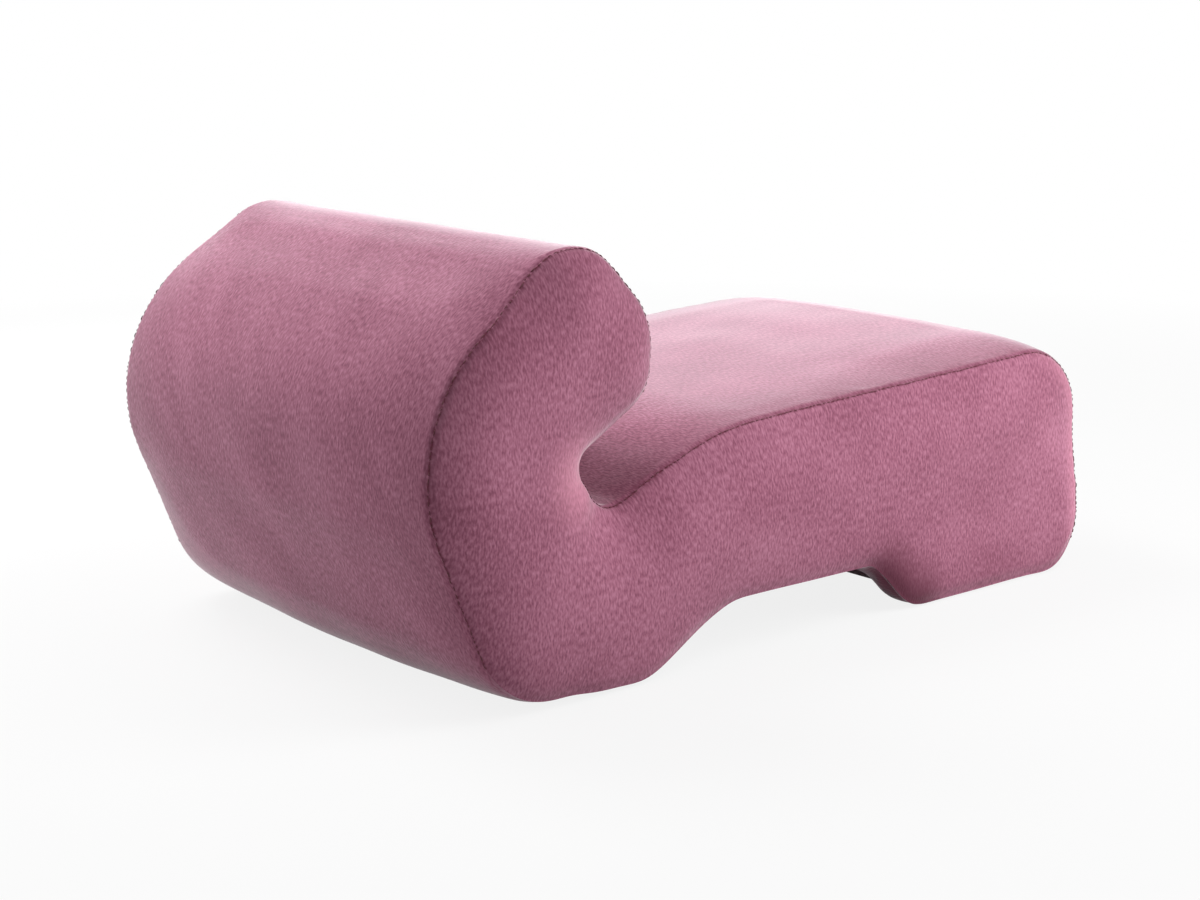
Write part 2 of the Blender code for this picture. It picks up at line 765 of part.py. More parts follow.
class Rail:
    """A cross rail that lies flat along one edge of the ribs."""

    def __init__(self, name, edge, share, cover=RAIL_COVER):
        start = RIB_LAYER.corners[edge]
        end = RIB_LAYER.corners[(edge + 1) % CORNER_COUNT]
        self.name = name
        self.along = RIB_LAYER.along[edge]
        inward = -turned_left(self.along)
        self.centre = start.lerp(end, share) + inward * (cover + RAIL_THICKNESS / 2.0)

    def mortise(self, width):
        """The hole's corners in the side plane, for a rail or tenon of this width."""
        half_width = width / 2.0 + FIT_GAP
        half_thickness = RAIL_THICKNESS / 2.0 + FIT_GAP
        across = turned_left(self.along)
        return [self.centre + self.along * (half_width * a) + across * (half_thickness * b)
                for a, b in ((-1, -1), (1, -1), (1, 1), (-1, 1))]


SEAT_RAIL_COVER = RAIL_COVER + STRAP_SAG_ROOM
RAILS = [
    Rail("rail_base_rear", BASE_BOTTOM, RAIL_BASE_REAR_SHARE),
    Rail("rail_base_front", BASE_BOTTOM, RAIL_BASE_FRONT_SHARE),
    Rail("rail_back_lower", LOWER_BACK, RAIL_BACK_LOWER_SHARE),
    Rail("rail_back_upper", UPPER_BACK, RAIL_BACK_UPPER_SHARE),
    Rail("rail_head", UPPER_BACK, RAIL_HEAD_SHARE),
    Rail("rail_lumbar", NOTCH_WALL, RAIL_LUMBAR_SHARE),
    Rail("rail_seat_rear", SEAT_TOP, RAIL_SEAT_REAR_SHARE, SEAT_RAIL_COVER),
    Rail("rail_seat_middle", SEAT_TOP, RAIL_SEAT_MIDDLE_SHARE, SEAT_RAIL_COVER),
    Rail("rail_seat_front", SEAT_TOP, RAIL_SEAT_FRONT_SHARE, SEAT_RAIL_COVER),
    Rail("rail_arch", ARCH_TOP, RAIL_ARCH_SHARE),
    Rail("rail_foot_rear", FOOT_BOTTOM, RAIL_FOOT_REAR_SHARE),
    Rail("rail_foot_front", FOOT_BOTTOM, RAIL_FOOT_FRONT_SHARE),
]


def make_rib(name, x, layer, mortise_width, collection):
    """A plywood rib with a mortise for each rail."""
    edge = thinned([layer.point(station) for station in STATIONS], RIB_POINT_SPACING)
    loops = [bends_of(edge)] + [rail.mortise(mortise_width) for rail in RAILS]
    item = make_flat_curve(name, loops, RIB_THICKNESS / 2.0, plywood_material, collection)
    item.matrix_world = Matrix.Translation((x, 0.0, 0.0)) @ SIDE_PLANE
    return item


def make_ribs(collection):
    """Two outer ribs, and a centre rib that is lower under the straps."""
    outer_x = FRAME_HALF - RIB_THICKNESS / 2.0
    tenon_width = RAIL_WIDTH - 2.0 * RAIL_SHOULDER
    make_rib("rib_right", -outer_x, RIB_LAYER, tenon_width, collection)
    make_rib("rib_left", outer_x, RIB_LAYER, tenon_width, collection)
    lowered = list(RIB_EDGE)
    lowered[SEAT_TOP] += STRAP_SAG_ROOM
    make_rib("rib_centre", 0.0, Outline(lowered), RAIL_WIDTH, collection)


def make_rail(rail, collection):
    """A rail whose ends are cut to tenons for the outer ribs."""
    shoulder = FRAME_HALF - RIB_THICKNESS - FIT_GAP
    half = RAIL_WIDTH / 2.0
    tenon = half - RAIL_SHOULDER
    quarter = [(FRAME_HALF, tenon), (shoulder, tenon), (shoulder, half)]
    upper = quarter + [(-x, y) for x, y in quarter[::-1]]
    loop = [Vector(point) for point in upper] + [Vector((x, -y)) for x, y in upper[::-1]]
    item = make_flat_curve(rail.name, [loop], RAIL_THICKNESS / 2.0, beech_material, collection)
    item.location = in_space(0.0, rail.centre)
    item.rotation_euler.x = tilt_of(rail.along)
    return item


def tilt_of(along):
    """Turn about the width axis that lays local Y along a direction in the side plane."""
    return math.atan2(along.y, -along.x)


def make_straps(collection):
    """Elastic straps across the seat, from one outer rib to the other."""
    bed = Outline(even(UNDER_WADDING + SEAT_FOAM + FIT_GAP + STRAP_THICKNESS / 2.0))
    for i in range(STRAP_COUNT):
        name = f"seat_strap_{i + 1}"
        shape = bmesh.new()
        bmesh.ops.create_cube(shape, size=1.0)
        bmesh.ops.scale(shape, vec=(2.0 * FRAME_HALF, STRAP_WIDTH, STRAP_THICKNESS), verts=shape.verts)
        mesh = bpy.data.meshes.new(name)
        shape.to_mesh(mesh)
        shape.free()
        item = add_object(name, mesh, collection, strap_material)
        item.location = in_space(0.0, bed.straight_point(SEAT_TOP, (i + 0.5) / STRAP_COUNT))
        item.rotation_euler.x = tilt_of(bed.along[SEAT_TOP])


def make_panel(name, first, last, depths, thickness, collection):
    """A board across the frame's width, on the ribs' edges."""
    outer = Outline(depths)
    inner = Outline([depth + thickness for depth in depths])
    run = [STATIONS[k] for k in run_of(first, last)]
    loop = trimmed([outer.point(station) for station in run])
    loop += trimmed([inner.point(station) for station in run])[::-1]
    item = make_flat_curve(name, [bends_of(loop)], FRAME_HALF, plywood_material, collection)
    item.matrix_world = SIDE_PLANE
    return item


def make_panels(collection):
    """Boards on the ribs: the bent back, the front, and the flat ones underneath."""
    under_foam = [depth + FIT_GAP for depth in UNDER_FOAM]
    under_cover = recessed(even(UNDER_COVER))
    make_panel("panel_back", arc_station(BASE_REAR, 1.0), arc_station(TOP, 0.0),
               under_foam, BACK_PANEL, collection)
    make_panel("panel_front", arc_station(SEAT_FRONT, 1.0), arc_station(TOE, 0.0),
               under_foam, FRONT_PANEL, collection)
    make_panel("panel_heel", arc_station(HEEL, 1.0), arc_station(ARCH_FRONT, 0.0),
               under_cover, ARCH_PANEL, collection)
    make_panel("panel_arch", arc_station(ARCH_FRONT, 1.0), arc_station(ARCH_REAR, 0.0),
               under_cover, ARCH_PANEL, collection)
    make_panel("panel_ramp", arc_station(ARCH_REAR, 1.0), arc_station(BASE_FRONT, 0.0),
               under_cover, ARCH_PANEL, collection)
    make_panel("panel_base", arc_station(BASE_FRONT, 1.0), arc_station(BASE_REAR, 0.0),
               under_cover, BASE_PANEL, collection)
    make_panel("panel_foot", arc_station(TOE, 1.0), arc_station(HEEL, 0.0),
               under_cover, BASE_PANEL, collection)


def make_turned(name, profile, closed, material_of, collection):
    """A turned shape from a profile of radius and height."""
    edges = [(k, k + 1) for k in range(len(profile) - 1)]
    if closed:
        edges.append((len(profile) - 1, 0))
    mesh = bpy.data.meshes.new(name)
    mesh.from_pydata([(radius, 0.0, height) for radius, height in profile], edges, [])
    item = add_object(name, mesh, collection, material_of)
    turn = item.modifiers.new("turn", "SCREW")
    turn.axis = "Z"
    turn.steps = TURNED_STEPS
    turn.render_steps = TURNED_STEPS
    turn.use_merge_vertices = True
    turn.merge_threshold = MERGE_DISTANCE
    turn.use_smooth_shade = True
    return item


def make_glide(name, x, flat_forward, collection):
    """A hard glide under the base, with its screw up into the board."""
    top = BASE_HEIGHT - FIT_GAP
    bore = SCREW_RADIUS + FIT_GAP
    sink = SCREW_HEAD_RADIUS + FIT_GAP
    seat = SCREW_RECESS + SCREW_HEAD_HEIGHT + FIT_GAP
    ring = [(sink, seat), (bore, seat), (bore, top), (GLIDE_RADIUS, top),
            (GLIDE_RADIUS, GLIDE_EDGE), (GLIDE_RADIUS - GLIDE_EDGE, 0.0), (sink, 0.0)]
    glide = make_turned(f"glide_{name}", ring, True, glide_material, collection)
    glide.location = in_space(x, Vector((flat_forward, 0.0)))
    tip = BASE_HEIGHT + UNDER_COVER + SCREW_BITE
    neck = SCREW_RECESS + SCREW_HEAD_HEIGHT
    pin = [(0.0, tip), (SCREW_RADIUS, tip), (SCREW_RADIUS, neck), (SCREW_HEAD_RADIUS, neck),
           (SCREW_HEAD_RADIUS, SCREW_RECESS), (0.0, SCREW_RECESS)]
    screw = make_turned(f"glide_screw_{name}", pin, False, steel_material, collection)
    screw.location = glide.location


def make_screw_cutter(name, x, flat_forward, collection):
    """The pilot hole of one glide screw, through the cover and into the board."""
    height = UNDER_COVER + SCREW_BITE + FIT_GAP
    shape = bmesh.new()
    radius = SCREW_RADIUS + FIT_GAP
    bmesh.ops.create_cone(shape, cap_ends=True, segments=TURNED_STEPS, radius1=radius,
                          radius2=radius, depth=height + CUTTER_OVERRUN)
    mesh = bpy.data.meshes.new(name)
    shape.to_mesh(mesh)
    shape.free()
    cutter = add_object(name, mesh, collection)
    middle = BASE_HEIGHT + (height - CUTTER_OVERRUN) / 2.0
    cutter.location = in_space(x, Vector((flat_forward, middle)))
    cutter.display_type = "WIRE"
    cutter.hide_render = True
    return cutter


def make_glides(parts, cutters):
    """Four glides: two under the base and two under the foot."""
    places = (("base", SURFACE.straight_point(BASE_BOTTOM, BASE_GLIDE_SHARE).x, "dust_cover"),
              ("foot", SURFACE.straight_point(FOOT_BOTTOM, FOOT_GLIDE_SHARE).x, "cover_seat"))
    for zone, forward, sheet_name in places:
        for sign, side in ((-1.0, "right"), (1.0, "left")):
            name = f"{zone}_{side}"
            x = sign * GLIDE_SPREAD
            make_glide(name, x, forward, parts)
            cutter = make_screw_cutter(f"pilot_{name}", x, forward, cutters)
            cut_away(bpy.data.objects[sheet_name], cutter)
            cut_away(panel_as_mesh(f"panel_{zone}", parts), cutter)


def panel_as_mesh(name, collection):
    """The named board as a mesh, so that holes can be cut in it."""
    item = bpy.data.objects[name]
    if item.type == "MESH":
        return item
    graph = bpy.context.evaluated_depsgraph_get()
    mesh = bpy.data.meshes.new_from_object(item.evaluated_get(graph))
    shape = bmesh.new()
    shape.from_mesh(mesh)
    bmesh.ops.remove_doubles(shape, verts=shape.verts, dist=MERGE_DISTANCE)
    shape.to_mesh(mesh)
    shape.free()
    place = item.matrix_world.copy()
    bpy.data.objects.remove(item, do_unlink=True)
    board = add_object(name, mesh, collection)
    board.matrix_world = place
    return board


def main():
    clear_scene()
    parts = make_collection(OBJECT_NAME)
    cutters = make_collection("cutters")
    make_ribs(parts)
    for rail in RAILS:
        make_rail(rail, parts)
    make_panels(parts)
    make_straps(parts)
    make_soft_middle(parts)
    make_sides(parts)
    make_glides(parts, cutters)


main()
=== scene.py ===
"""Chaise longue, dressed: a plush cover sewn over foam, in a plain pale studio.

Metres, +Z up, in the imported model's frame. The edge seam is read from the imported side
panels. The cover is one closed form round that seam, swollen by a cloth simulation, then
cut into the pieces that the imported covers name.
"""

import math
import random

import bmesh
import bpy
import numpy as np
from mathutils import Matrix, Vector, noise
from mathutils.bvhtree import BVHTree
from mathutils.geometry import delaunay_2d_cdt


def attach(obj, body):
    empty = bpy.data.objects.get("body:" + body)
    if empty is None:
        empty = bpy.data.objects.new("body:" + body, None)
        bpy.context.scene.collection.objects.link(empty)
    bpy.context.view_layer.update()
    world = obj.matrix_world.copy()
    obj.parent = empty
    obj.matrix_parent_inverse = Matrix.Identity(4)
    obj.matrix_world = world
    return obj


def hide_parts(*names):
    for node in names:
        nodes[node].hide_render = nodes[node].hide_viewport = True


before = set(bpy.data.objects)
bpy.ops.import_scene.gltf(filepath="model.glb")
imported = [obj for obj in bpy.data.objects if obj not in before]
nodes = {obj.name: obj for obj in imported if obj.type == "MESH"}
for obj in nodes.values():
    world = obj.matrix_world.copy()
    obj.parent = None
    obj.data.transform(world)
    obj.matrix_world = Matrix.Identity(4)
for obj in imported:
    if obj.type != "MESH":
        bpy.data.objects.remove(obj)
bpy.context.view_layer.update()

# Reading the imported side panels
WELD_DISTANCE = 0.00001
FILL_DISTANCE = 0.000001
OUTER_FACE_SLOPE = 0.3
SEAM_TUCK = 0.0028
STRAIGHT_STEP = 0.030
STRAIGHT_BEND = math.radians(1.0)
SPLINE_POINTS = 24

# Fineness of the cover
STATION_SPACING = 0.0095
MIDDLE_COLUMNS = 44
NEAR_SEAM = (0.0, 0.0016, 0.0034, 0.0055, 0.0085, 0.012, 0.017, 0.024, 0.033, 0.045,
             0.060, 0.080)
SIDE_LATTICE = 0.014
LATTICE_ROW = SIDE_LATTICE * math.sqrt(0.75)
RING_CLEAR = 0.92
RING_SPACING = 0.0085
SUBDIVISIONS = 1

# Form of the cover
ROUND_WIDTH = 0.150
BROAD_SHARE = 0.45
SEARCH_OUT = 0.032
SEARCH_IN = 0.090
CROWN_SMOOTHING = 0.060
DEEPEST_CROWN = -0.004
RECESS_SMOOTHING = 0.012
RECESS_HALF = 0.382
RECESS_SLOPE = 0.036
BASE_BULGE = 0.014
BASE_LIFT = 0.006
BASE_LENGTH = 0.42
BASE_SMOOTHING = 0.030
FLOOR_CLEAR = 0.0015
SIDE_ROUND = 0.125
DEEP_SHARE = 0.95
START_INSET = 0.0010
HEAD_INSET = 0.0015
SEAT_INSET = 0.0065
TOP_ABOVE = 0.340
FOOT_SETTLE = 0.0050
FOOT_BAND = 0.03
RAMP_SETTLE = 0.0050
RAMP_FACING = 0.2
FRONT_STAND = 0.0050
FRONT_FACING = -0.5
HEAD_STAND = 0.0110
NOTCH_RIM = 0.0100
HEAD_RIM = 0.0050
NOTCH_REACH = 0.120
NOTCH_BELOW = 0.450
NOTCH_FACING = -0.5
RIM_WIDTH = 0.035
RIM_SMOOTHING = 0.020
# Downward slope from which the wrap counts as turned down, and the span until it fully does
TURN_FROM = 0.30
TURN_SPAN = 0.40

# Rounded edges of what lies under the plush, and how far under the cover it is kept
FOAM_EDGE = 0.006
WADDING_EDGE = 0.0015
EDGE_SEGMENTS = 2
EDGE_ANGLE = math.radians(40.0)
UNDER_COVER = 0.0050
PRESS_REACH = 0.0150

# Swelling by simulated cloth
SWELL_FRAMES = 16
CLOTH_QUALITY = 4
CLOTH_BENDING = 1.0
SWELL_PRESSURE = 4.0
SWELL_LIMITS = (-0.0015, 0.0040)
FIRST_SWELL = 0.0040

# Seam and hand-made unevenness
GROOVE_DEPTH = 0.0034
GROOVE_WIDTH = 0.0042
HIDDEN_WIDENING = 2.0
PUCKER_DEPTH = 0.0008
PUCKER_LENGTH = 0.026
PUCKER_REACH = 0.022
UNEVEN_DEPTH = 0.0022
UNEVEN_LENGTH = 0.170
UNEVEN_SHIFT = Vector((3.7, 1.3, 8.1))
# Width of the dark seam line, partly painted shade in the seam's groove
SEAM_SHADE_WIDTH = 0.0016

# Painted shade beside the seam, where the surfaces turn from the lamps, and painted shadow at the
# lower rear corner of the foot
SIDE_REAR_PAINTED_SHADE = 0.20
SIDE_TOP_PAINTED_SHADE = 0.24
SIDE_FOOT_PAINTED_SHADE = 0.25
HEEL_PAINTED_SHADOW = 0.95
HEEL_REACH = 0.108
HEEL_BELOW = 0.070
HEEL_FACING = 0.15
WRAP_BACK_PAINTED_SHADE = 0.20
WRAP_SEAT_PAINTED_SHADE = 0.40
SIDE_PAINTED_SHADE_REACH = 0.110
WRAP_PAINTED_SHADE_REACH = 0.140
PAINTED_LIGHT_SMOOTHING = 0.040
LOW_BELOW = 0.200

# Painted highlight on the side panels, round the crease's end and along the foot end
PAINTED_HIGHLIGHT = 0.62
PAINTED_HIGHLIGHT_REACH = 0.105
PAINTED_HIGHLIGHT_BEHIND = 0.012
FRONT_PAINTED_HIGHLIGHT = 0.50
FRONT_PAINTED_HIGHLIGHT_REACH = 0.042

# Seam thread
SEAM_STRAY = 0.0024
SEAM_STRAY_LENGTH = 0.016
SEAM_STRAY_REACH = 0.007
SEAM_STRAY_SHIFT = Vector((5.2, 9.4, 0.6))
THREAD_STEP = 0.001
STITCH_STEPS = (4, 11)
GAP_STEPS = (2, 6)
STITCH_RADIUS = (0.0005, 0.0009)
STITCH_SIDES = 6
STITCH_RISE = 0.0007
STITCH_STRAY = 0.0006
STITCH_SHOWN = 0.5
STITCH_SEED = 11
# Columns of the thread's path: its place, the way out of the groove, and how far it shows
THREAD_PLACE = slice(0, 3)
THREAD_OUT = slice(3, 6)
THREAD_SHOWN = 6
# Share of a stitch's length, share of its radius, and rise in radii, at each section
STITCH_SECTIONS = (
    (0.0, 0.35, -0.9),
    (0.2, 0.9, -0.2),
    (0.5, 1.0, 0.0),
    (0.8, 0.9, -0.2),
    (1.0, 0.35, -0.9),
)

# Camera, as the photograph was taken
CAMERA_PLACE = (-2.935, 2.5145, 1.111)
CAMERA_AZIMUTH = math.radians(230.14)
CAMERA_PITCH = math.radians(12.50)
CAMERA_LENS = 65.96
SENSOR_WIDTH = 36.0

# Piece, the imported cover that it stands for, and whether its pile runs across the object
PLUSH_PIECES = (
    ("plush_back", "cover_back", False),
    ("plush_seat", "cover_seat", True),
    ("plush_side_left", "cover_side_left", False),
    ("plush_side_right", "cover_side_right", False),
)
WRAPS = ("cover_back", "cover_seat", "dust_cover")


# Mesh helpers


def add_mesh(name, points, faces, material=None):
    mesh = bpy.data.meshes.new(name)
    mesh.from_pydata([tuple(point) for point in points], [], faces)
    mesh.polygons.foreach_set("use_smooth", [True] * len(mesh.polygons))
    if material:
        mesh.materials.append(material)
    mesh.update()
    item = bpy.data.objects.new(name, mesh)
    bpy.context.scene.collection.objects.link(item)
    return item


def coordinates(mesh):
    flat = np.zeros(len(mesh.vertices) * 3, np.float32)
    mesh.vertices.foreach_get("co", flat)
    return flat.reshape(-1, 3).astype(float)


def vertex_normals(mesh):
    flat = np.zeros(len(mesh.vertices) * 3, np.float32)
    mesh.vertex_normals.foreach_get("vector", flat)
    return flat.reshape(-1, 3).astype(float)


# The edge seam, read from a packed side panel


def welded(node):
    shape = bmesh.new()
    shape.from_mesh(nodes[node].data)
    bmesh.ops.remove_doubles(shape, verts=shape.verts, dist=WELD_DISTANCE)
    shape.normal_update()
    return shape


def border_of_left_side():
    """Corners of the left side panel's outer face, in order round its border."""
    shape = welded("cover_side_left")
    outer = {face for face in shape.faces if face.normal.x > OUTER_FACE_SLOPE}
    rim = [edge for edge in shape.edges if sum(face in outer for face in edge.link_faces) == 1]
    links = {}
    for edge in rim:
        first, second = edge.verts
        links.setdefault(first, []).append(second)
        links.setdefault(second, []).append(first)
    start = rim[0].verts[0]
    loop = [start]
    previous, current = start, links[start][0]
    while current is not start:
        loop.append(current)
        following = [vertex for vertex in links[current] if vertex is not previous]
        previous, current = current, following[0]
    points = np.array([tuple(vertex.co) for vertex in loop])
    shape.free()
    return points


def filled_in(loop):
    """The loop with points added on its straight stretches, and none on its arcs."""
    steps = np.roll(loop, -1, 0) - loop
    lengths = np.linalg.norm(steps, axis=1)
    along = steps / lengths[:, None]
    bends = np.arccos(np.clip(np.sum(along * np.roll(along, 1, 0), axis=1), -1.0, 1.0))
    filled = []
    for k, point in enumerate(loop):
        straight = min(bends[k], bends[(k + 1) % len(loop)]) < STRAIGHT_BEND
        count = max(1, math.ceil(lengths[k] / STRAIGHT_STEP)) if straight else 1
        filled += [point + steps[k] * number / count for number in range(count)]
    return np.array(filled)


def closed_spline(points, spacing):
    """A smooth closed curve through the points, as evenly spaced points."""
    steps = np.linalg.norm(np.roll(points, -1, 0) - points, axis=1)
    count = len(points)
    system = np.zeros((count, count))
    target = np.zeros_like(points)
    for k in range(count):
        before, after = steps[k - 1], steps[k]
        system[k, k - 1] += before
        system[k, k] += 2.0 * (before + after)
        system[k, (k + 1) % count] += after
        slope_after = (points[(k + 1) % count] - points[k]) / after
        slope_before = (points[k] - points[k - 1]) / before
        target[k] = 6.0 * (slope_after - slope_before)
    bend = np.linalg.solve(system, target)
    fine = []
    for k in range(count):
        step = steps[k]
        share = np.linspace(0.0, 1.0, SPLINE_POINTS, endpoint=False)[:, None]
        first, second = points[k], points[(k + 1) % count]
        cubic = ((1 - share) ** 3 - (1 - share)) * bend[k]
        cubic = cubic + (share ** 3 - share) * bend[(k + 1) % count]
        fine.append(first * (1 - share) + second * share + cubic * step * step / 6.0)
    return evenly(np.concatenate(fine), spacing)


def evenly(loop, spacing, measured=slice(None)):
    """The closed loop with its points moved to equal distances along its measured columns."""
    closed = np.vstack([loop, loop[:1]])
    steps = np.linalg.norm(np.diff(closed[:, measured], axis=0), axis=1)
    run = np.concatenate([[0.0], np.cumsum(steps)])
    count = round(run[-1] / spacing)
    places = np.arange(count) * run[-1] / count
    columns = [np.interp(places, run, column) for column in closed.T]
    return np.stack(columns, axis=1)


def gap_to(places, point):
    """How far a point lies from the nearest of the places."""
    return np.linalg.norm(places - point, axis=1).min()


def smoothed(values, width):
    """Values round the seam, averaged over about the given width."""
    for _ in range(round((width / STATION_SPACING) ** 2)):
        values = (np.roll(values, 1) + 2.0 * values + np.roll(values, -1)) / 4.0
    return values


class Seam:
    """The edge seam: evenly spaced stations with place, outward direction and half width."""

    def __init__(self):
        loop = filled_in(border_of_left_side())
        loop = closed_spline(loop, STATION_SPACING)
        if self.signed_area(loop[:, 1:]) < 0.0:
            loop = loop[::-1]
        self.half = loop[:, 0]
        self.outward = self.outward_of(loop[:, 1:])
        self.flat = loop[:, 1:] + self.outward * SEAM_TUCK
        self.start_at_back()
        stand = self.packed_stand()
        self.crown = smoothed(np.maximum(stand, DEEPEST_CROWN), CROWN_SMOOTHING)
        self.recess = smoothed(np.minimum(stand - DEEPEST_CROWN, 0.0), RECESS_SMOOTHING)
        self.bulge = self.base_bulge()
        self.heel = self.heel_corner()
        self.side_shade, self.wrap_painted_shade = self.painted_edge_shades()
        self.shown = 1.0 - self.turned_down()
        self.front_painted_highlight = self.front_painted_highlights()
        self.crease = self.crease_end()
        self.rim = self.rims()
        self.flat += self.outward * (self.settle() - START_INSET)[:, None]
        self.count = len(self.flat)
        steps = np.linalg.norm(np.roll(self.flat, -1, 0) - self.flat, axis=1)
        self.run = np.concatenate([[0.0], np.cumsum(steps)[:-1]])

    @staticmethod
    def signed_area(flat):
        following = np.roll(flat, -1, 0)
        return float(np.sum(flat[:, 0] * following[:, 1] - flat[:, 1] * following[:, 0])) / 2.0

    @staticmethod
    def outward_of(flat):
        along = np.roll(flat, -1, 0) - np.roll(flat, 1, 0)
        along /= np.linalg.norm(along, axis=1)[:, None]
        return np.stack([along[:, 1], -along[:, 0]], axis=1)

    def start_at_back(self):
        """Turns the loop so that its first row is the first one of the back cover."""
        self.owners = self.packed_owners()
        starts = [k for k, owner in enumerate(self.owners)
                  if owner == "cover_back" and self.owners[k - 1] != "cover_back"]
        shift = -starts[0]
        self.half = np.roll(self.half, shift)
        self.outward = np.roll(self.outward, shift, 0)
        self.flat = np.roll(self.flat, shift, 0)
        self.owners = self.owners[starts[0]:] + self.owners[:starts[0]]
        self.at_back = np.array([owner == "cover_back" for owner in self.owners])
        self.at_seat = np.array([owner == "cover_seat" for owner in self.owners])

    def packed_owners(self):
        """For the row that leaves each station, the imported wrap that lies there."""
        trees = {node: packed_tree([node]) for node in WRAPS}
        middles = (self.flat + np.roll(self.flat, -1, 0)) / 2.0
        owners = []
        for y, z in middles:
            middle = Vector((0.0, y, z))
            distances = {node: tree.find_nearest(middle)[3] for node, tree in trees.items()}
            owners.append(min(distances, key=distances.get))
        return owners

    def packed_stand(self):
        """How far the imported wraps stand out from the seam's outline at mid-width."""
        tree = packed_tree(WRAPS)
        stand = []
        for (y, z), (out_y, out_z) in zip(self.flat, self.outward):
            out = Vector((0.0, out_y, out_z))
            start = Vector((0.0, y, z)) + out * SEARCH_OUT
            hit = tree.ray_cast(start, -out, SEARCH_OUT + SEARCH_IN)
            stand.append(SEARCH_OUT - hit[3] if hit[0] else 0.0)
        return np.array(stand)

    def base_bulge(self):
        """Extra swell where the back rolls under the base and settles on the floor."""
        return smoothed(BASE_BULGE * self.under_base(), BASE_SMOOTHING)

    def under_base(self):
        """A share for each station, 1 where the back has rolled under the base."""
        rear = self.flat[:, 0] > self.flat[:, 0].max() - BASE_LENGTH
        return self.turned_down() * (self.at_back & rear)

    def settle(self):
        """How far the outline stands out at each station, below 0 where it draws in."""
        out_y, out_z = self.outward.T
        forward = np.clip(-out_y, 0.0, 1.0)
        low = self.flat[:, 1] < self.flat[:, 1].min() + FOOT_BAND
        settle = FOOT_SETTLE * self.turned_down() * (self.at_seat & low)
        settle += RAMP_SETTLE * self.turned_down() * (forward > RAMP_FACING) * ~self.at_back
        settle += FRONT_STAND * forward * (self.at_seat & (out_z > FRONT_FACING))
        settle += HEAD_STAND * forward * self.at_back
        inset = HEAD_INSET * self.at_back + SEAT_INSET * self.at_seat
        settle -= inset * np.clip(out_z, 0.0, 1.0) * (self.flat[:, 1] > TOP_ABOVE)
        settle -= BASE_LIFT * self.under_base()
        return smoothed(settle, BASE_SMOOTHING)

    def rims(self):
        """How far the side panel's edge rolls in round the crease and the head's front."""
        forward = np.clip(-self.outward[:, 0], 0.0, 1.0)
        near = eased(1.0 - np.linalg.norm(self.flat - self.crease, axis=1) / NOTCH_REACH)
        rim = np.maximum(NOTCH_RIM * near, HEAD_RIM * forward * self.at_back)
        return smoothed(rim, RIM_SMOOTHING)

    def crease_end(self):
        """The rearmost place in the crease under the head."""
        facing = (self.outward[:, 0] < NOTCH_FACING) & (self.flat[:, 1] < NOTCH_BELOW)
        return self.flat[facing][self.flat[facing][:, 0].argmax()]

    def painted_edge_shades(self):
        """How much painted shade lies beside the seam, on the side panel and on the wrap."""
        out_y, out_z = self.outward.T
        height = self.flat[:, 1]
        up = np.clip(out_z, 0.0, 1.0)
        rear = np.clip(out_y, 0.0, 1.0)
        low = self.turned_down() * (height < LOW_BELOW)
        # Painted shade where the side panel turns to the rear, below the head's top and along the
        # foot's lower edge, and on the wrap beside the back and seat seams
        side = SIDE_REAR_PAINTED_SHADE * rear
        side += SIDE_TOP_PAINTED_SHADE * up * self.at_back
        side += SIDE_FOOT_PAINTED_SHADE * low * self.at_seat
        wrap = WRAP_BACK_PAINTED_SHADE * rear * self.at_back + WRAP_SEAT_PAINTED_SHADE * up * ~self.at_back
        # Painted shadow round the lower rear corner of the foot
        heel = np.array([self.painted_heel_shadow(flat) for flat in self.flat])
        return smoothed(side, PAINTED_LIGHT_SMOOTHING), np.maximum(smoothed(wrap, PAINTED_LIGHT_SMOOTHING), heel)

    def front_painted_highlights(self):
        """How much painted highlight lies on the side panel beside the seam at the foot end."""
        forward = eased(-self.outward[:, 0]) * self.at_seat * self.shown
        return smoothed(FRONT_PAINTED_HIGHLIGHT * forward * (self.flat[:, 0] < 0.0), PAINTED_LIGHT_SMOOTHING)

    def heel_corner(self):
        """The stations round the lower rear corner of the foot."""
        low = (self.flat[:, 1] < HEEL_BELOW) & (self.flat[:, 0] < 0.0)
        return self.flat[low & (self.outward[:, 0] > HEEL_FACING)]

    def painted_heel_shadow(self, flat):
        """How much painted shadow lies at a flat place, for its distance from that corner."""
        return HEEL_PAINTED_SHADOW * eased(1.0 - gap_to(self.heel, flat) / HEEL_REACH)

    def turned_down(self):
        """A share for each station: 0 where the wrap faces sideways, 1 where it faces down."""
        return np.clip((-self.outward[:, 1] - TURN_FROM) / TURN_SPAN, 0.0, 1.0)


def packed_tree(names):
    points, faces = [], []
    for name in names:
        start = len(points)
        mesh = nodes[name].data
        points += [vertex.co.copy() for vertex in mesh.vertices]
        faces += [tuple(start + k for k in polygon.vertices) for polygon in mesh.polygons]
    return BVHTree.FromPolygons(points, faces)


# The cover's form: the wrap round the middle, and a swollen panel on each side


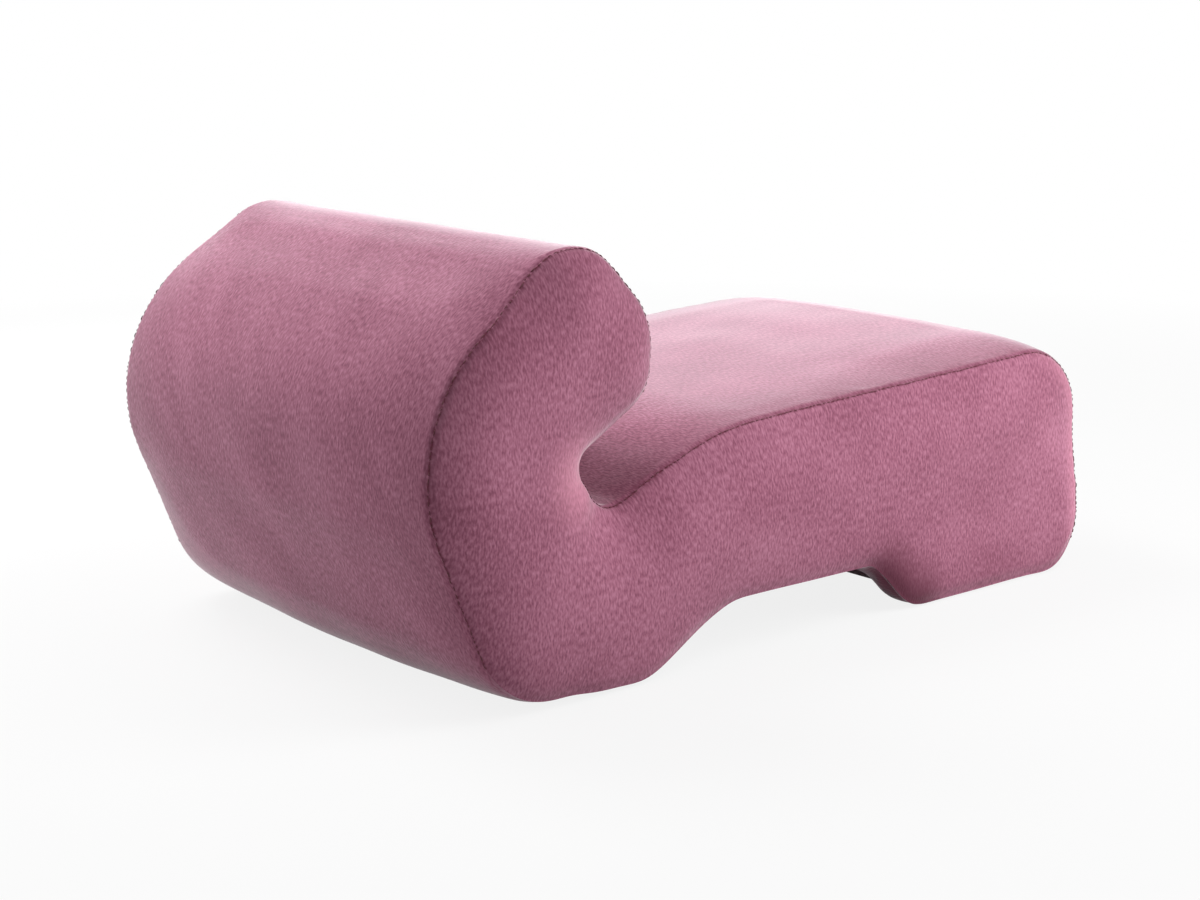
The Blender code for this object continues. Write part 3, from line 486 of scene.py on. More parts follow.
class Form:
    """The whole cover as one closed mesh, with what each point and face belongs to."""

    def __init__(self, seam):
        self.seam = seam
        self.side_line = self.packed_side_line()
        self.points = []
        self.faces = []
        self.owners = []
        self.seam_distance = []
        self.shown = []
        self.seam_line_and_shade = []
        self.shade = []
        self.halo = []
        self.pile = []
        self.add_wrap()
        flats, triangles = self.side_mesh()
        self.add_side(flats, triangles, 1.0, "cover_side_left")
        self.add_side(flats, triangles, -1.0, "cover_side_right")
        self.points = np.array(self.points)
        self.seam_distance = np.array(self.seam_distance)
        self.shown = np.array(self.shown)
        # Marks painted on the points: the dark seam line with painted groove shade, painted shade
        # and painted highlight
        self.marks = {"seam": self.seam_line_and_shade, "shade": self.shade, "halo": self.halo}

    def packed_side_line(self):
        """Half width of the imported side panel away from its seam, as a curve along the object."""
        points = coordinates(nodes["cover_side_left"].data)
        away = np.array([gap_to(self.seam.flat, point[1:]) for point in points])
        deep = points[away > SIDE_ROUND * DEEP_SHARE]
        outer = deep[deep[:, 0] > np.median(deep[:, 0])]
        return np.polyfit(outer[:, 1], outer[:, 0], 2)

    def columns(self, half):
        """Places across the width, closer together near both seams."""
        near = [half - distance for distance in NEAR_SEAM]
        middle = np.linspace(near[-1], -near[-1], MIDDLE_COLUMNS + 1)[1:-1]
        return np.concatenate([[-x for x in near], middle[::-1], near[::-1]])

    def add_wrap(self):
        seam = self.seam
        rows = seam.count
        for k in range(rows):
            half = seam.half[k] - seam.rim[k]
            across = self.columns(half)
            distance = half - np.abs(across)
            near = 1.0 - np.clip(1.0 - distance / ROUND_WIDTH, 0.0, 1.0) ** 2
            broad = 1.0 - (across / half) ** 2
            rise = seam.crown[k] * (near * (1.0 - BROAD_SHARE) + broad * BROAD_SHARE)
            rise += seam.recess[k] * eased((RECESS_HALF - np.abs(across)) / RECESS_SLOPE)
            rise += seam.bulge[k] * broad
            for x, lift, away in zip(across, rise, distance):
                flat = seam.flat[k] + seam.outward[k] * lift
                self.points.append((x, flat[0], max(flat[1], FLOOR_CLEAR)))
                self.seam_distance.append(away)
                self.shown.append(seam.shown[k])
                # Dark seam line, partly painted shade in the seam's groove, where the seam shows
                self.seam_line_and_shade.append(seam.shown[k] * math.exp(-away / SEAM_SHADE_WIDTH))
                # Painted shade on the wrap, fading away from the seam
                self.shade.append(seam.wrap_painted_shade[k] * eased(1.0 - away / WRAP_PAINTED_SHADE_REACH))
                self.halo.append(0.0)
                self.pile.append((x, seam.run[k]))
        self.width = len(across)
        for k in range(rows):
            following = (k + 1) % rows
            for c in range(self.width - 1):
                a = k * self.width + c
                b = following * self.width + c
                self.faces.append((a, b, b + 1, a + 1))
                self.owners.append(seam.owners[k])

    def side_mesh(self):
        """Flat triangles that fill the seam's outline: rings near the seam, a lattice inside."""
        rim = self.seam.flat
        inside = []
        for ring in NEAR_SEAM[1:]:
            offset = rim - self.seam.outward * ring
            kept = []
            for point in offset:
                clear = gap_to(rim, point) > ring * RING_CLEAR
                spaced = not kept or gap_to(np.array(kept), point) > RING_SPACING
                if clear and spaced:
                    kept.append(point)
            inside += kept
        low, high = rim.min(0), rim.max(0)
        deepest = NEAR_SEAM[-1] + SIDE_LATTICE / 2.0
        for row, z in enumerate(np.arange(low[1], high[1], LATTICE_ROW)):
            for y in np.arange(low[0] + SIDE_LATTICE / 2.0 * (row % 2), high[0], SIDE_LATTICE):
                point = np.array((y, z))
                if gap_to(rim, point) > deepest and is_inside(point, rim):
                    inside.append(point)
        flats = [Vector(point) for point in rim] + [Vector(point) for point in inside]
        edges = [(k, (k + 1) % len(rim)) for k in range(len(rim))]
        inside_only = 1
        places, _, faces, *_ = delaunay_2d_cdt(flats, edges, [], inside_only, FILL_DISTANCE)
        triangles = []
        for face in faces:
            a, b, c = (places[k] for k in face)
            turn = (b - a).cross(c - a)
            triangles.append(tuple(face) if turn > 0.0 else tuple(face[::-1]))
        return np.array([tuple(point) for point in places]), triangles

    def add_side(self, flats, triangles, sign, owner):
        """One side panel on the wrap's seam points, its own points after those on the seam."""
        seam = self.seam
        edge_column = self.width - 1 if sign > 0.0 else 0
        start = len(self.points) - seam.count
        painted_highlight_middle = seam.crease + (PAINTED_HIGHLIGHT_BEHIND, 0.0)
        for flat in flats[seam.count:]:
            gaps = np.linalg.norm(seam.flat - flat, axis=1)
            nearest = gaps.argmin()
            share = min(gaps[nearest] / SIDE_ROUND, 1.0)
            swell = 1.0 - (1.0 - share) ** 2
            half = seam.half[nearest]
            x = half + (np.polyval(self.side_line, flat[0]) - half) * swell
            x -= seam.rim[nearest] * max(1.0 - gaps[nearest] / RIM_WIDTH, 0.0) ** 2
            self.points.append((sign * x, flat[0], flat[1]))
            self.seam_distance.append(gaps[nearest])
            self.shown.append(seam.shown[nearest])
            # Dark seam line, partly painted shade in the seam's groove, where the seam shows
            self.seam_line_and_shade.append(seam.shown[nearest] * math.exp(-gaps[nearest] / SEAM_SHADE_WIDTH))
            # Painted shade beside the seam, and painted shadow round the foot's lower rear corner
            painted_edge_shade = seam.side_shade[nearest] * eased(1.0 - gaps[nearest] / SIDE_PAINTED_SHADE_REACH)
            self.shade.append(max(painted_edge_shade, seam.painted_heel_shadow(flat)))
            # Painted highlight round the crease's end and beside the seam at the foot end
            crease_painted_highlight = PAINTED_HIGHLIGHT * eased(1.0 - np.linalg.norm(flat - painted_highlight_middle) / PAINTED_HIGHLIGHT_REACH)
            front_painted_highlight = seam.front_painted_highlight[nearest] * eased(1.0 - gaps[nearest] / FRONT_PAINTED_HIGHLIGHT_REACH)
            self.halo.append(max(crease_painted_highlight, front_painted_highlight))
            self.pile.append((flat[0], flat[1]))
        for face in triangles:
            corners = [k * self.width + edge_column if k < seam.count else start + k for k in face]
            self.faces.append(tuple(corners if sign > 0.0 else corners[::-1]))
            self.owners.append(owner)


def eased(share):
    """A share from 0 to 1, level at both ends."""
    share = np.clip(share, 0.0, 1.0)
    return share * share * (3.0 - 2.0 * share)


def is_inside(point, loop):
    """Whether a flat point lies inside a closed loop."""
    first, second = loop, np.roll(loop, -1, 0)
    spans = (first[:, 1] > point[1]) != (second[:, 1] > point[1])
    first, second = first[spans], second[spans]
    share = (point[1] - first[:, 1]) / (second[:, 1] - first[:, 1])
    crossing = first[:, 0] + share * (second[:, 0] - first[:, 0])
    return int(np.sum(point[0] < crossing)) % 2 == 1


def swollen(form):
    """The form's points, let out a little and blown up as cloth against the held seam."""
    start = form.points
    item = add_mesh("cover_form", start, form.faces)
    normals = vertex_normals(item.data)
    moved = simulated(item, form)
    rise = np.clip(np.sum((moved - start) * normals, axis=1), *SWELL_LIMITS)
    bpy.data.objects.remove(item, do_unlink=True)
    return start + normals * (FIRST_SWELL + rise)[:, None]


def simulated(item, form):
    held = item.vertex_groups.new(name="held")
    held.add([int(k) for k in np.flatnonzero(form.seam_distance <= 0.0)], 1.0, "REPLACE")
    cloth = item.modifiers.new("swell", "CLOTH")
    cloth.settings.quality = CLOTH_QUALITY
    cloth.settings.vertex_group_mass = "held"
    cloth.settings.bending_stiffness = CLOTH_BENDING
    cloth.settings.use_pressure = True
    cloth.settings.uniform_pressure_force = SWELL_PRESSURE
    cloth.settings.effector_weights.gravity = 0.0
    cloth.collision_settings.use_collision = False
    cloth.point_cache.frame_start = 1
    cloth.point_cache.frame_end = SWELL_FRAMES
    for number in range(1, SWELL_FRAMES + 1):
        bpy.context.scene.frame_set(number)
    graph = bpy.context.evaluated_depsgraph_get()
    mesh = item.evaluated_get(graph).to_mesh()
    moved = coordinates(mesh)
    bpy.context.scene.frame_set(1)
    return moved


def detailed(form, points):
    """The swollen points with the seam pulled in, puckers beside it, and hand-made unevenness."""
    item = add_mesh("cover_form", points, form.faces)
    normals = vertex_normals(item.data)
    bpy.data.objects.remove(item, do_unlink=True)
    away = form.seam_distance
    width = GROOVE_WIDTH * (1.0 + HIDDEN_WIDENING * (1.0 - form.shown))
    lift = -GROOVE_DEPTH * np.exp(-(away / width) ** 2)
    near = np.exp(-away / PUCKER_REACH) * (1.0 - np.exp(-away / GROOVE_WIDTH)) * form.shown
    for k, point in enumerate(points):
        place = Vector(point)
        lift[k] += PUCKER_DEPTH * near[k] * 2.0 * noise.noise(place / PUCKER_LENGTH)
        lift[k] += UNEVEN_DEPTH * noise.noise(place / UNEVEN_LENGTH + UNEVEN_SHIFT)
    moved = points + normals * lift[:, None]
    strays = [noise.noise(Vector(point) / SEAM_STRAY_LENGTH + SEAM_STRAY_SHIFT) for point in points]
    moved[:, 0] += SEAM_STRAY * np.exp(-away / SEAM_STRAY_REACH) * form.shown * np.array(strays)
    moved[:, 2] = np.maximum(moved[:, 2], FLOOR_CLEAR)
    return moved


# The pieces of the cover


def cover_piece(name, node, form, points, material, across_pile=False):
    """The faces of the form that belong to a packed cover, as a piece of their own."""
    faces = [face for face, owner in zip(form.faces, form.owners) if owner == node]
    used = sorted({k for face in faces for k in face})
    order = {k: number for number, k in enumerate(used)}
    item = add_mesh(name, points[used], [tuple(order[k] for k in face) for face in faces], material)
    mesh = item.data
    for label, values in form.marks.items():
        attribute = mesh.attributes.new(label, "FLOAT", "POINT")
        attribute.data.foreach_set("value", np.array(values, np.float32)[used])
    layer = mesh.uv_layers.new(name="pile")
    corners = np.zeros(len(mesh.loops), np.int32)
    mesh.loops.foreach_get("vertex_index", corners)
    pile = pile_coordinates(form, node, used, points)[corners]
    if across_pile:
        pile = pile[:, ::-1]
    layer.data.foreach_set("uv", np.ascontiguousarray(pile, np.float32).ravel())
    smooth = item.modifiers.new("smooth", "SUBSURF")
    smooth.levels = SUBDIVISIONS
    smooth.render_levels = SUBDIVISIONS
    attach(item, "root")
    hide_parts(node)
    return item


def pile_coordinates(form, node, used, points):
    """Metres across and along the cloth for each point: the pile's streaks run along the second."""
    if node.startswith("cover_side"):
        return points[used][:, 1:]
    return np.array([form.pile[k] for k in used])


def make_stitches(name, form, points, edge_column, material):
    """Thread along one seam, as uneven stitches that lie in the groove where it shows."""
    rows = np.arange(form.seam.count) * form.width + edge_column
    out = np.column_stack([np.zeros(form.seam.count), form.seam.outward])
    out[:, 0] = 1.0 if edge_column else -1.0
    out /= np.linalg.norm(out, axis=1)[:, None]
    path = np.hstack([points[rows], out, form.seam.shown[:, None]])
    path = evenly(path, THREAD_STEP, THREAD_PLACE)
    stray = random.Random(STITCH_SEED)
    verts, faces = [], []
    first = 0
    while first + STITCH_STEPS[1] < len(path):
        last = first + stray.randint(*STITCH_STEPS)
        stitch = path[first:last + 1]
        if stitch[:, THREAD_SHOWN].min() > STITCH_SHOWN:
            add_stitch(verts, faces, stitch, stray)
        first = last + stray.randint(*GAP_STEPS)
    item = add_mesh(name, verts, faces, material)
    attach(item, "root")
    return item


def add_stitch(verts, faces, path, stray):
    """One stitch: a round bar along a piece of the seam, thinner and lower at both ends."""
    radius = stray.uniform(*STITCH_RADIUS)
    along = Vector(path[-1][THREAD_PLACE] - path[0][THREAD_PLACE]).normalized()
    rise = Vector(path[len(path) // 2][THREAD_OUT]).normalized()
    across = along.cross(rise).normalized()
    rise = across.cross(along)
    shift = across * stray.uniform(-STITCH_STRAY, STITCH_STRAY) + rise * STITCH_RISE
    start = len(verts)
    for share, thickness, height in STITCH_SECTIONS:
        place = path[round(share * (len(path) - 1))]
        middle = Vector(place[THREAD_PLACE]) + shift + rise * (radius * height)
        for side in range(STITCH_SIDES):
            angle = 2.0 * math.pi * side / STITCH_SIDES
            spoke = across * math.cos(angle) + rise * math.sin(angle)
            verts.append(middle + spoke * radius * thickness)
    for section in range(len(STITCH_SECTIONS) - 1):
        for side in range(STITCH_SIDES):
            a = start + section * STITCH_SIDES + side
            b = start + section * STITCH_SIDES + (side + 1) % STITCH_SIDES
            faces.append((a, b, b + STITCH_SIDES, a + STITCH_SIDES))
    last = start + (len(STITCH_SECTIONS) - 1) * STITCH_SIDES
    faces.append(tuple(start + side for side in reversed(range(STITCH_SIDES))))
    faces.append(tuple(last + side for side in range(STITCH_SIDES)))


# Materials


class Nodes:
    """Short calls for building a material's node tree."""

    def __init__(self, name):
        self.material = bpy.data.materials.new(name)
        self.material.use_nodes = True
        self.tree = self.material.node_tree
        self.shader = self.tree.nodes["Principled BSDF"]

    def add(self, kind, inputs=None, **settings):
        node = self.tree.nodes.new(kind)
        for key, value in settings.items():
            setattr(node, key, value)
        for key, value in (inputs or {}).items():
            self.feed(node.inputs[key], value)
        return node

    def feed(self, socket, value):
        if isinstance(value, bpy.types.NodeSocket):
            self.tree.links.new(value, socket)
        else:
            socket.default_value = value

    def set(self, **sockets):
        for key, value in sockets.items():
            self.feed(self.shader.inputs[key.replace("_", " ")], value)

    def scaled(self, vector, scale):
        return self.add("ShaderNodeMapping", {"Vector": vector, "Scale": scale}).outputs["Vector"]

    def noise(self, vector, detail=2.0, roughness=0.5, scale=1.0):
        node = self.add("ShaderNodeTexNoise", {"Vector": vector, "Scale": scale, "Detail": detail,
                                               "Roughness": roughness})
        return node.outputs["Fac"]

    def grain(self, cloth, across, along, detail=0.0):
        """Noise in grains of about that many metres across and along the cloth."""
        return self.noise(self.scaled(cloth, (1 / across, 1 / along, 1.0)), detail)

    def math(self, operation, first, second):
        node = self.add("ShaderNodeMath", {0: first, 1: second}, operation=operation)
        return node.outputs["Value"]

    def spread(self, value, least, span):
        """The least, plus the value times the span."""
        return self.math("ADD", self.math("MULTIPLY", value, span), least)

    def ranged(self, value, low, high, least):
        """From the least where the value is low to 1 where it is high."""
        node = self.add("ShaderNodeMapRange", {"Value": value, "From Min": low, "From Max": high,
                                               "To Min": least, "To Max": 1.0})
        return node.outputs["Result"]

    def weighed(self, *terms):
        """The sum of values, each times its own weight."""
        total = 0.0
        for value, weight in terms:
            total = self.add("ShaderNodeMath", {0: value, 1: weight, 2: total},
                             operation="MULTIPLY_ADD").outputs["Value"]
        return total

    def warped(self, vector, size, depth):
        """The places, each moved a little at random."""
        inputs = {"Vector": vector, "Scale": 1.0 / size, "Detail": 1.0}
        stray = self.add("ShaderNodeTexNoise", inputs).outputs["Color"]
        centred = self.add("ShaderNodeVectorMath", {0: stray, 1: (0.5, 0.5, 0.5)},
                           operation="SUBTRACT").outputs["Vector"]
        return self.add("ShaderNodeVectorMath", {0: centred, 1: (depth,) * 3, 2: vector},
                        operation="MULTIPLY_ADD").outputs["Vector"]

    def ramp(self, factor, stops):
        node = self.add("ShaderNodeValToRGB", {"Fac": factor})
        marks = node.color_ramp.elements
        while len(marks) < len(stops):
            marks.new(0.5)
        for mark, (place, colour) in zip(marks, stops):
            mark.position = place
            mark.color = (*colour, 1.0)
        return node.outputs["Color"]

    def between(self, factor, low, high, colours):
        """The first colour where the factor is low, and the second where it is high."""
        return self.ramp(factor, ((low, colours[0]), (high, colours[1])))

    def painted(self, base, colour, share):
        """The base with a share of another colour over it."""
        node = self.add("ShaderNodeMix", data_type="RGBA")
        self.feed(node.inputs["Factor"], share)
        self.feed(node.inputs["A"], base)
        self.feed(node.inputs["B"], (*colour, 1.0))
        return node.outputs["Result"]

    def mark(self, name):
        """A mark that the mesh carries on its points."""
        return self.add("ShaderNodeAttribute", attribute_name=name).outputs["Fac"]

    def bump(self, height, distance, strength):
        inputs = {"Height": height, "Distance": distance, "Strength": strength}
        self.set(Normal=self.add("ShaderNodeBump", inputs).outputs["Normal"])

    def object_place(self):
        return self.add("ShaderNodeTexCoord").outputs["Object"]

    def uv_place(self, name):
        return self.add("ShaderNodeUVMap", uv_map=name).outputs["UV"]


# Dark and light colour of each plainer material
THREAD_COLOURS = ((0.050, 0.008, 0.014), (0.125, 0.022, 0.036))
LINING_COLOURS = ((0.006, 0.006, 0.007), (0.028, 0.027, 0.029))
FOAM_COLOURS = ((0.58, 0.50, 0.30), (0.82, 0.76, 0.54))
WADDING_COLOURS = ((0.62, 0.62, 0.60), (0.88, 0.88, 0.86))
BEECH_COLOURS = ((0.40, 0.23, 0.12), (0.68, 0.47, 0.29))
PLYWOOD_COLOURS = ((0.45, 0.29, 0.15), (0.72, 0.55, 0.35))
STRAP_COLOURS = ((0.012, 0.012, 0.014), (0.075, 0.073, 0.078))
GLIDE_COLOURS = ((0.012, 0.012, 0.012), (0.045, 0.044, 0.043))
STEEL_COLOURS = ((0.48, 0.48, 0.50), (0.70, 0.70, 0.72))

# Plush: tones with the pile's deep, middle and tip colours, then painted shade, painted highlight
# and the dark seam line with painted groove shade over them
PLUSH_STOPS = (
    (0.355, (0.238, 0.078, 0.125)),
    (0.50, (0.332, 0.121, 0.187)),
    (0.645, (0.438, 0.180, 0.262)),
)
# Colours painted over the pile: painted shade, the dark seam line with painted groove shade, and
# painted highlight
PLUSH_PAINTED_SHADE = (0.120, 0.030, 0.052)
PLUSH_SEAM_LINE_AND_SHADE = (0.120, 0.024, 0.043)
PLUSH_PAINTED_HIGHLIGHT = (0.640, 0.270, 0.365)
STREAK_ACROSS = 0.0034
STREAK_ALONG = 0.0095
FINE_ACROSS = 0.0018
FINE_ALONG = 0.0045
CLUMP_ACROSS = 0.010
CLUMP_ALONG = 0.030
BRUSH_SIZES = (0.075, 0.140, 0.230)
BRUSH_SLANT = math.radians(35.0)
WARP_SIZE = 0.020
WARP_DEPTH = 0.0018
# Shares of the grains in the pile's height, and of height and brushed patches in its tone
STREAK_SHARE = 0.58
FINE_SHARE = 0.30
CLUMP_SHARE = 0.12
HEIGHT_SHARE = 0.78
BRUSH_SHARE = 0.22
# Dashes that break up the dark line of the seam
DASH_LENGTH = 0.006
DASH_FROM = 0.40
DASH_FULL = 0.58
DASH_LEAST = 0.10
# Share of the painted highlight that is left in the pile's hollows, and the bump of the pile's
# height
PAINTED_HIGHLIGHT_LEAST = 0.5
PILE_DEPTH = 0.0012
PILE_STRENGTH = 0.5


def plush_material():
    """Short-pile plush: fine streaks along the pile, soft clumps, and brushed patches."""
    n = Nodes("plush")
    cloth = n.warped(n.uv_place("pile"), WARP_SIZE, WARP_DEPTH)
    streak = n.grain(cloth, STREAK_ACROSS, STREAK_ALONG)
    fine = n.grain(cloth, FINE_ACROSS, FINE_ALONG)
    clump = n.grain(cloth, CLUMP_ACROSS, CLUMP_ALONG, detail=1.0)
    place = n.object_place()
    slant = {"Vector": place, "Rotation": (0.0, BRUSH_SLANT, 0.0), "Scale": BRUSH_SIZES}
    slanted = n.add("ShaderNodeMapping", slant, vector_type="TEXTURE").outputs["Vector"]
    brush = n.noise(slanted, detail=1.0)
    dash = n.noise(place, detail=0.0, scale=1 / DASH_LENGTH)
    dash = n.ranged(dash, DASH_FROM, DASH_FULL, DASH_LEAST)
    height = n.weighed((streak, STREAK_SHARE), (fine, FINE_SHARE), (clump, CLUMP_SHARE))
    tone = n.weighed((height, HEIGHT_SHARE), (brush, BRUSH_SHARE))
    # Painted highlight, with part of the pile's grain kept in it
    halo = n.math("MULTIPLY", n.mark("halo"), n.math("ADD", height, PAINTED_HIGHLIGHT_LEAST))
    # Dark seam line, partly painted shade in the seam's groove, broken into dashes
    seam = n.math("MULTIPLY", n.mark("seam"), dash)
    # Painted shade, then painted highlight, then the dark seam line over the pile's tones
    colour = n.painted(n.ramp(tone, PLUSH_STOPS), PLUSH_PAINTED_SHADE, n.mark("shade"))
    colour = n.painted(colour, PLUSH_PAINTED_HIGHLIGHT, halo)
    n.set(Base_Color=n.painted(colour, PLUSH_SEAM_LINE_AND_SHADE, seam))
    n.set(Roughness=0.95, Specular_IOR_Level=0.03)
    n.set(Sheen_Weight=1.0, Sheen_Roughness=0.32, Sheen_Tint=(1.0, 0.93, 0.97, 1.0))
    n.bump(height, PILE_DEPTH, PILE_STRENGTH)
    return n.material


def thread_material():
    """Dark twisted thread."""
    n = Nodes("thread")
    twist = n.noise(n.object_place(), detail=2.0, roughness=0.6, scale=900.0)
    n.set(Base_Color=n.between(twist, 0.3, 0.7, THREAD_COLOURS), Roughness=0.8)
    n.bump(twist, distance=0.0003, strength=0.6)
    return n.material


def lining_material():
    """Black non-woven cloth with a grid of pressed dots."""
    n = Nodes("lining")
    place = n.object_place()
    fibre = n.noise(place, detail=4.0, roughness=0.7, scale=420.0)
    grid = {"Vector": place, "Scale": 330.0, "Randomness": 0.15}
    dots = n.add("ShaderNodeTexVoronoi", grid).outputs["Distance"]
    height = n.spread(fibre, least=dots, span=0.5)
    n.set(Base_Color=n.between(height, 0.35, 0.95, LINING_COLOURS), Roughness=0.9)
    n.bump(height, distance=0.0004, strength=0.6)
    return n.material


def foam_material():
    """Cream open-cell foam."""
    n = Nodes("foam")
    place = n.object_place()
    cells = n.add("ShaderNodeTexVoronoi", {"Vector": place, "Scale": 700.0}).outputs["Distance"]
    stain = n.noise(place, detail=3.0, roughness=0.6, scale=9.0)
    tone = n.weighed((cells, 0.5), (stain, 0.5))
    n.set(Base_Color=n.between(tone, 0.25, 0.60, FOAM_COLOURS), Roughness=0.95)
    n.bump(cells, distance=0.0008, strength=0.8)
    return n.material


def wadding_material():
    """White polyester fibre sheet."""
    n = Nodes("wadding")
    place = n.scaled(n.object_place(), (260.0, 90.0, 260.0))
    fibre = n.noise(place, detail=6.0, roughness=0.75)
    n.set(Base_Color=n.between(fibre, 0.3, 0.65, WADDING_COLOURS), Roughness=1.0)
    n.bump(fibre, distance=0.0015, strength=0.8)
    return n.material


def wood_material(name, colours, scales, roughness):
    """Timber with its grain along the axis that has the smallest scale."""
    n = Nodes(name)
    place = n.scaled(n.object_place(), scales)
    growth = n.noise(place, detail=3.0, roughness=0.55, scale=3.0)
    pores = n.noise(place, detail=6.0, roughness=0.7, scale=14.0)
    tone = n.weighed((growth, 0.7), (pores, 0.3))
    n.set(Base_Color=n.between(tone, 0.33, 0.66, colours))
    n.set(Roughness=n.spread(pores, least=roughness, span=0.2))
    n.bump(pores, distance=0.0002, strength=0.5)
    return n.material


def beech_material():
    return wood_material("beech", BEECH_COLOURS, scales=(2.0, 26.0, 26.0), roughness=0.45)


def plywood_material():
    return wood_material("plywood", PLYWOOD_COLOURS, scales=(18.0, 4.0, 22.0), roughness=0.50)


def strap_material():
    """Elastic webbing with ribs along its length."""
    n = Nodes("strap")
    place = n.object_place()
    ribs = n.add("ShaderNodeTexWave", {"Vector": place, "Scale": 160.0, "Distortion": 0.4},
                 bands_direction="Y").outputs["Fac"]
    fuzz = n.noise(place, detail=3.0, roughness=0.6, scale=500.0)
    tone = n.weighed((ribs, 0.6), (fuzz, 0.4))
    n.set(Base_Color=n.between(tone, 0.2, 0.8, STRAP_COLOURS), Roughness=0.85)
    n.bump(tone, distance=0.0005, strength=0.7)
    return n.material


def glide_material():
    """Black moulded plastic, scuffed."""
    n = Nodes("glide")
    scuff = n.noise(n.object_place(), detail=5.0, roughness=0.65, scale=160.0)
    n.set(Base_Color=n.between(scuff, 0.35, 0.75, GLIDE_COLOURS))
    n.set(Roughness=n.spread(scuff, least=0.3, span=0.3))
    n.bump(scuff, distance=0.0001, strength=0.4)
    return n.material


def steel_material():
    """Zinc-plated steel with fine turning marks."""
    n = Nodes("steel")
    place = n.scaled(n.object_place(), (300.0, 300.0, 2500.0))
    marks = n.noise(place, detail=3.0, roughness=0.6)
    n.set(Base_Color=n.between(marks, 0.3, 0.7, STEEL_COLOURS))
    n.set(Metallic=1.0, Roughness=n.spread(marks, least=0.25, span=0.2))
    return n.material


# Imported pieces: hard ones keep their shape, soft ones get rounded edges


def dress(prefix, material):
    """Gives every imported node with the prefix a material."""
    for name, item in nodes.items():
        if name.startswith(prefix) and not item.hide_render:
            item.data.materials.clear()
            item.data.materials.append(material)


def soften(prefix, suffix, edge, material, cover):
    """Replaces packed soft solids with pieces with rounded edges, pressed in under the cover."""
    for name in sorted(node for node in nodes if node.startswith(prefix)):
        shape = welded(name)
        for vertex in shape.verts:
            vertex.co = pressed_in(vertex.co, cover)
        mesh = bpy.data.meshes.new(name + suffix)
        shape.to_mesh(mesh)
        shape.free()
        mesh.materials.append(material)
        item = bpy.data.objects.new(name + suffix, mesh)
        bpy.context.scene.collection.objects.link(item)
        bevel = item.modifiers.new("edges", "BEVEL")
        bevel.width = edge
        bevel.segments = EDGE_SEGMENTS
        bevel.limit_method = "ANGLE"
        bevel.angle_limit = EDGE_ANGLE
        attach(item, "root")
        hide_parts(name)


def pressed_in(place, cover):
    """The place itself, or where it lies too near the cover, the place that far under it."""
    nearest, normal, _, distance = cover.find_nearest(place)
    depth = (nearest - place).dot(normal)
    clear = depth > UNDER_COVER or distance > PRESS_REACH
    return place if clear else nearest - normal * UNDER_COVER


def make_cover(plush, thread, lining):
    """Makes the cover's pieces, and returns its form for what lies under it."""
    form = Form(Seam())
    smooth = swollen(form)
    points = detailed(form, smooth)
    for piece, node, across in PLUSH_PIECES:
        item = cover_piece(piece, node, form, points, plush, across)
    under = cover_piece("lining_under", "dust_cover", form, points, lining)
    make_stitches("stitches_right", form, points, 0, thread)
    make_stitches("stitches_left", form, points, form.width - 1, thread)
    return BVHTree.FromPolygons([tuple(point) for point in smooth], form.faces)


# Studio


WHITE = (1.0, 1.0, 1.0, 1.0)
FLOOR_HALF = 40.0
FLOOR_SHADE = 0.55
WHITE_FROM = 1.4
WHITE_BEYOND = 4.0
NEAR_WHITE = 0.85
SKY_LIGHT = 0.30
LAMP_SIZE = 1.8
LAMP_FAR = 3.4
LAMP_AIM = (0.0, 0.0, 0.3)
# Name, azimuth, elevation and watts of each lamp
LAMPS = (
    ("left_low", 90.0, 18.0, 61.0),
    ("left_rear", 135.0, 18.0, 33.0),
    ("left_high", 120.0, 55.0, 86.0),
    ("front_right_low", 315.0, 18.0, 77.0),
    ("front_right_high", 300.0, 55.0, 54.0),
)


def seen_rays(tree):
    """1 on rays from the camera, off gloss or through glass, and 0 on those that only light."""
    path = tree.nodes.new("ShaderNodeLightPath")
    seen = path.outputs["Is Camera Ray"]
    for kind in ("Is Glossy Ray", "Is Transmission Ray"):
        either = tree.nodes.new("ShaderNodeMath")
        either.operation = "MAXIMUM"
        tree.links.new(seen, either.inputs[0])
        tree.links.new(path.outputs[kind], either.inputs[1])
        seen = either.outputs["Value"]
    return seen


def floor_material():
    """Pale floor: it keeps the object's shadow, and is plain white farther off."""
    n = Nodes("floor")
    n.set(Base_Color=(FLOOR_SHADE,) * 3 + (1.0,), Roughness=0.9)
    output = n.tree.nodes["Material Output"]
    glow = n.add("ShaderNodeEmission", {"Color": WHITE, "Strength": 1.0})
    place = n.add("ShaderNodeNewGeometry").outputs["Position"]
    distance = n.add("ShaderNodeVectorMath", {0: place}, operation="LENGTH").outputs["Value"]
    white = n.ranged(distance, WHITE_FROM, WHITE_BEYOND, NEAR_WHITE)
    share = n.math("MULTIPLY", seen_rays(n.tree), white)
    mixed = n.add("ShaderNodeMixShader", {"Fac": share})
    n.feed(mixed.inputs[1], n.shader.outputs["BSDF"])
    n.feed(mixed.inputs[2], glow.outputs["Emission"])
    n.feed(output.inputs["Surface"], mixed.outputs["Shader"])
    return n.material


def make_floor():
    half = FLOOR_HALF
    corners = [(-half, -half, 0), (half, -half, 0), (half, half, 0), (-half, half, 0)]
    floor = add_mesh("floor", corners, [(0, 1, 2, 3)], floor_material())


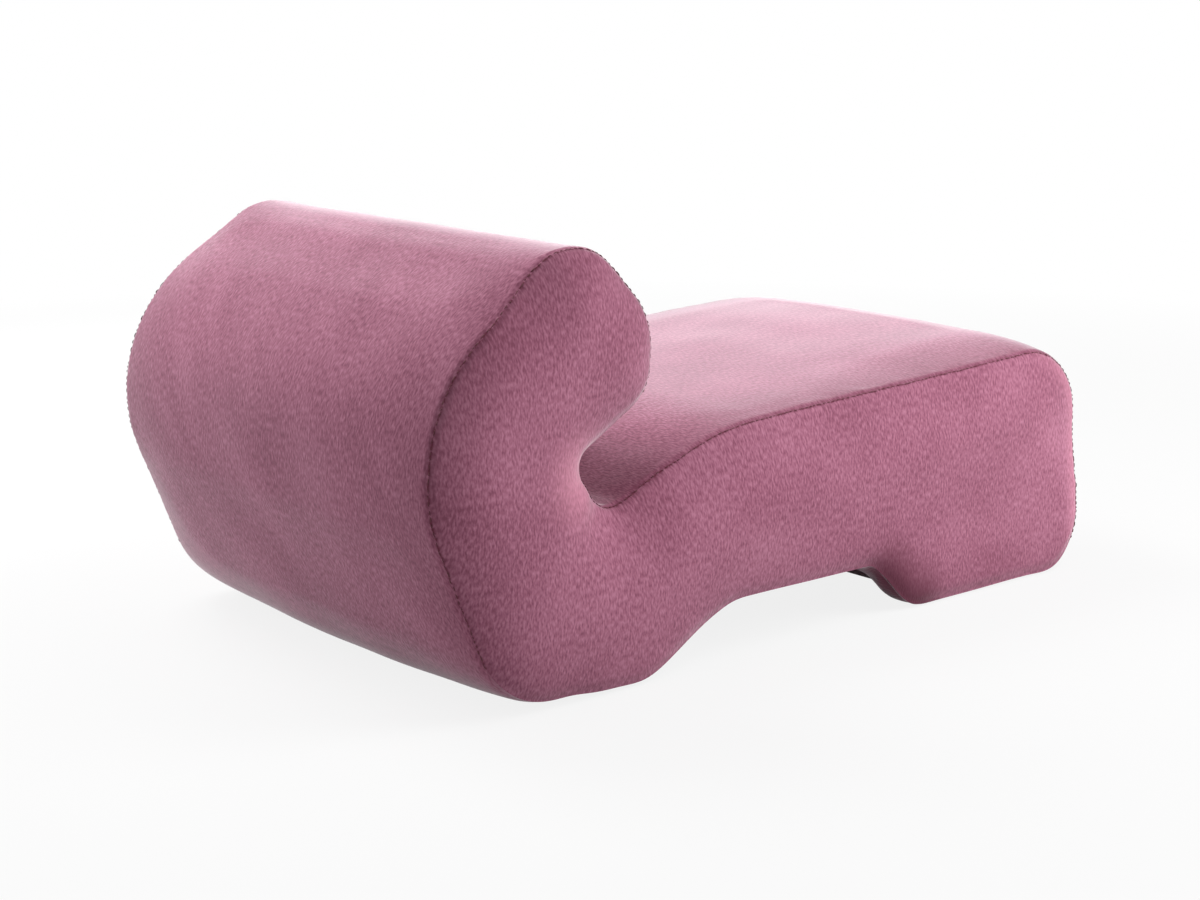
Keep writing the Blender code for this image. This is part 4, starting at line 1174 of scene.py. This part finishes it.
def make_world():
    world = bpy.data.worlds.new("studio")
    world.use_nodes = True
    tree = world.node_tree
    background = tree.nodes["Background"]
    background.inputs["Color"].default_value = WHITE
    level = tree.nodes.new("ShaderNodeMapRange")
    level.inputs["To Min"].default_value = SKY_LIGHT
    level.inputs["To Max"].default_value = 1.0
    tree.links.new(seen_rays(tree), level.inputs["Value"])
    tree.links.new(level.outputs["Result"], background.inputs["Strength"])
    bpy.context.scene.world = world


def direction(azimuth, elevation):
    """Towards a place round the object, azimuth 0 at -Y and 90 at +X, in radians."""
    level = math.cos(elevation)
    return Vector((math.sin(azimuth) * level, -math.cos(azimuth) * level, math.sin(elevation)))


def make_lamp(name, azimuth, elevation, power):
    lamp = bpy.data.lights.new(name, "AREA")
    lamp.shape = "SQUARE"
    lamp.size = LAMP_SIZE
    lamp.energy = power
    item = bpy.data.objects.new(name, lamp)
    outward = direction(math.radians(azimuth), math.radians(elevation))
    item.location = Vector(LAMP_AIM) + outward * LAMP_FAR
    item.rotation_mode = "QUATERNION"
    item.rotation_quaternion = (-outward).to_track_quat("-Z", "Y")
    bpy.context.scene.collection.objects.link(item)


def make_camera():
    camera = bpy.data.cameras.new("camera")
    camera.lens = CAMERA_LENS
    camera.sensor_width = SENSOR_WIDTH
    item = bpy.data.objects.new("camera", camera)
    back = direction(CAMERA_AZIMUTH, CAMERA_PITCH)
    item.location = CAMERA_PLACE
    item.rotation_mode = "QUATERNION"
    item.rotation_quaternion = (-back).to_track_quat("-Z", "Y")
    bpy.context.scene.collection.objects.link(item)
    bpy.context.scene.camera = item


def make_studio():
    make_floor()
    make_world()
    for lamp in LAMPS:
        make_lamp(*lamp)
    make_camera()
    bpy.context.scene.view_settings.view_transform = "Standard"


cover = make_cover(plush_material(), thread_material(), lining_material())
soften("foam_", "_block", FOAM_EDGE, foam_material(), cover)
soften("wadding_", "_sheet", WADDING_EDGE, wadding_material(), cover)
dress("rib_", plywood_material())
dress("panel_", plywood_material())
dress("rail_", beech_material())
dress("seat_strap_", strap_material())
# The screws' names start as the glides' do, so the screws come after them
dress("glide_", glide_material())
dress("glide_screw_", steel_material())
make_studio()
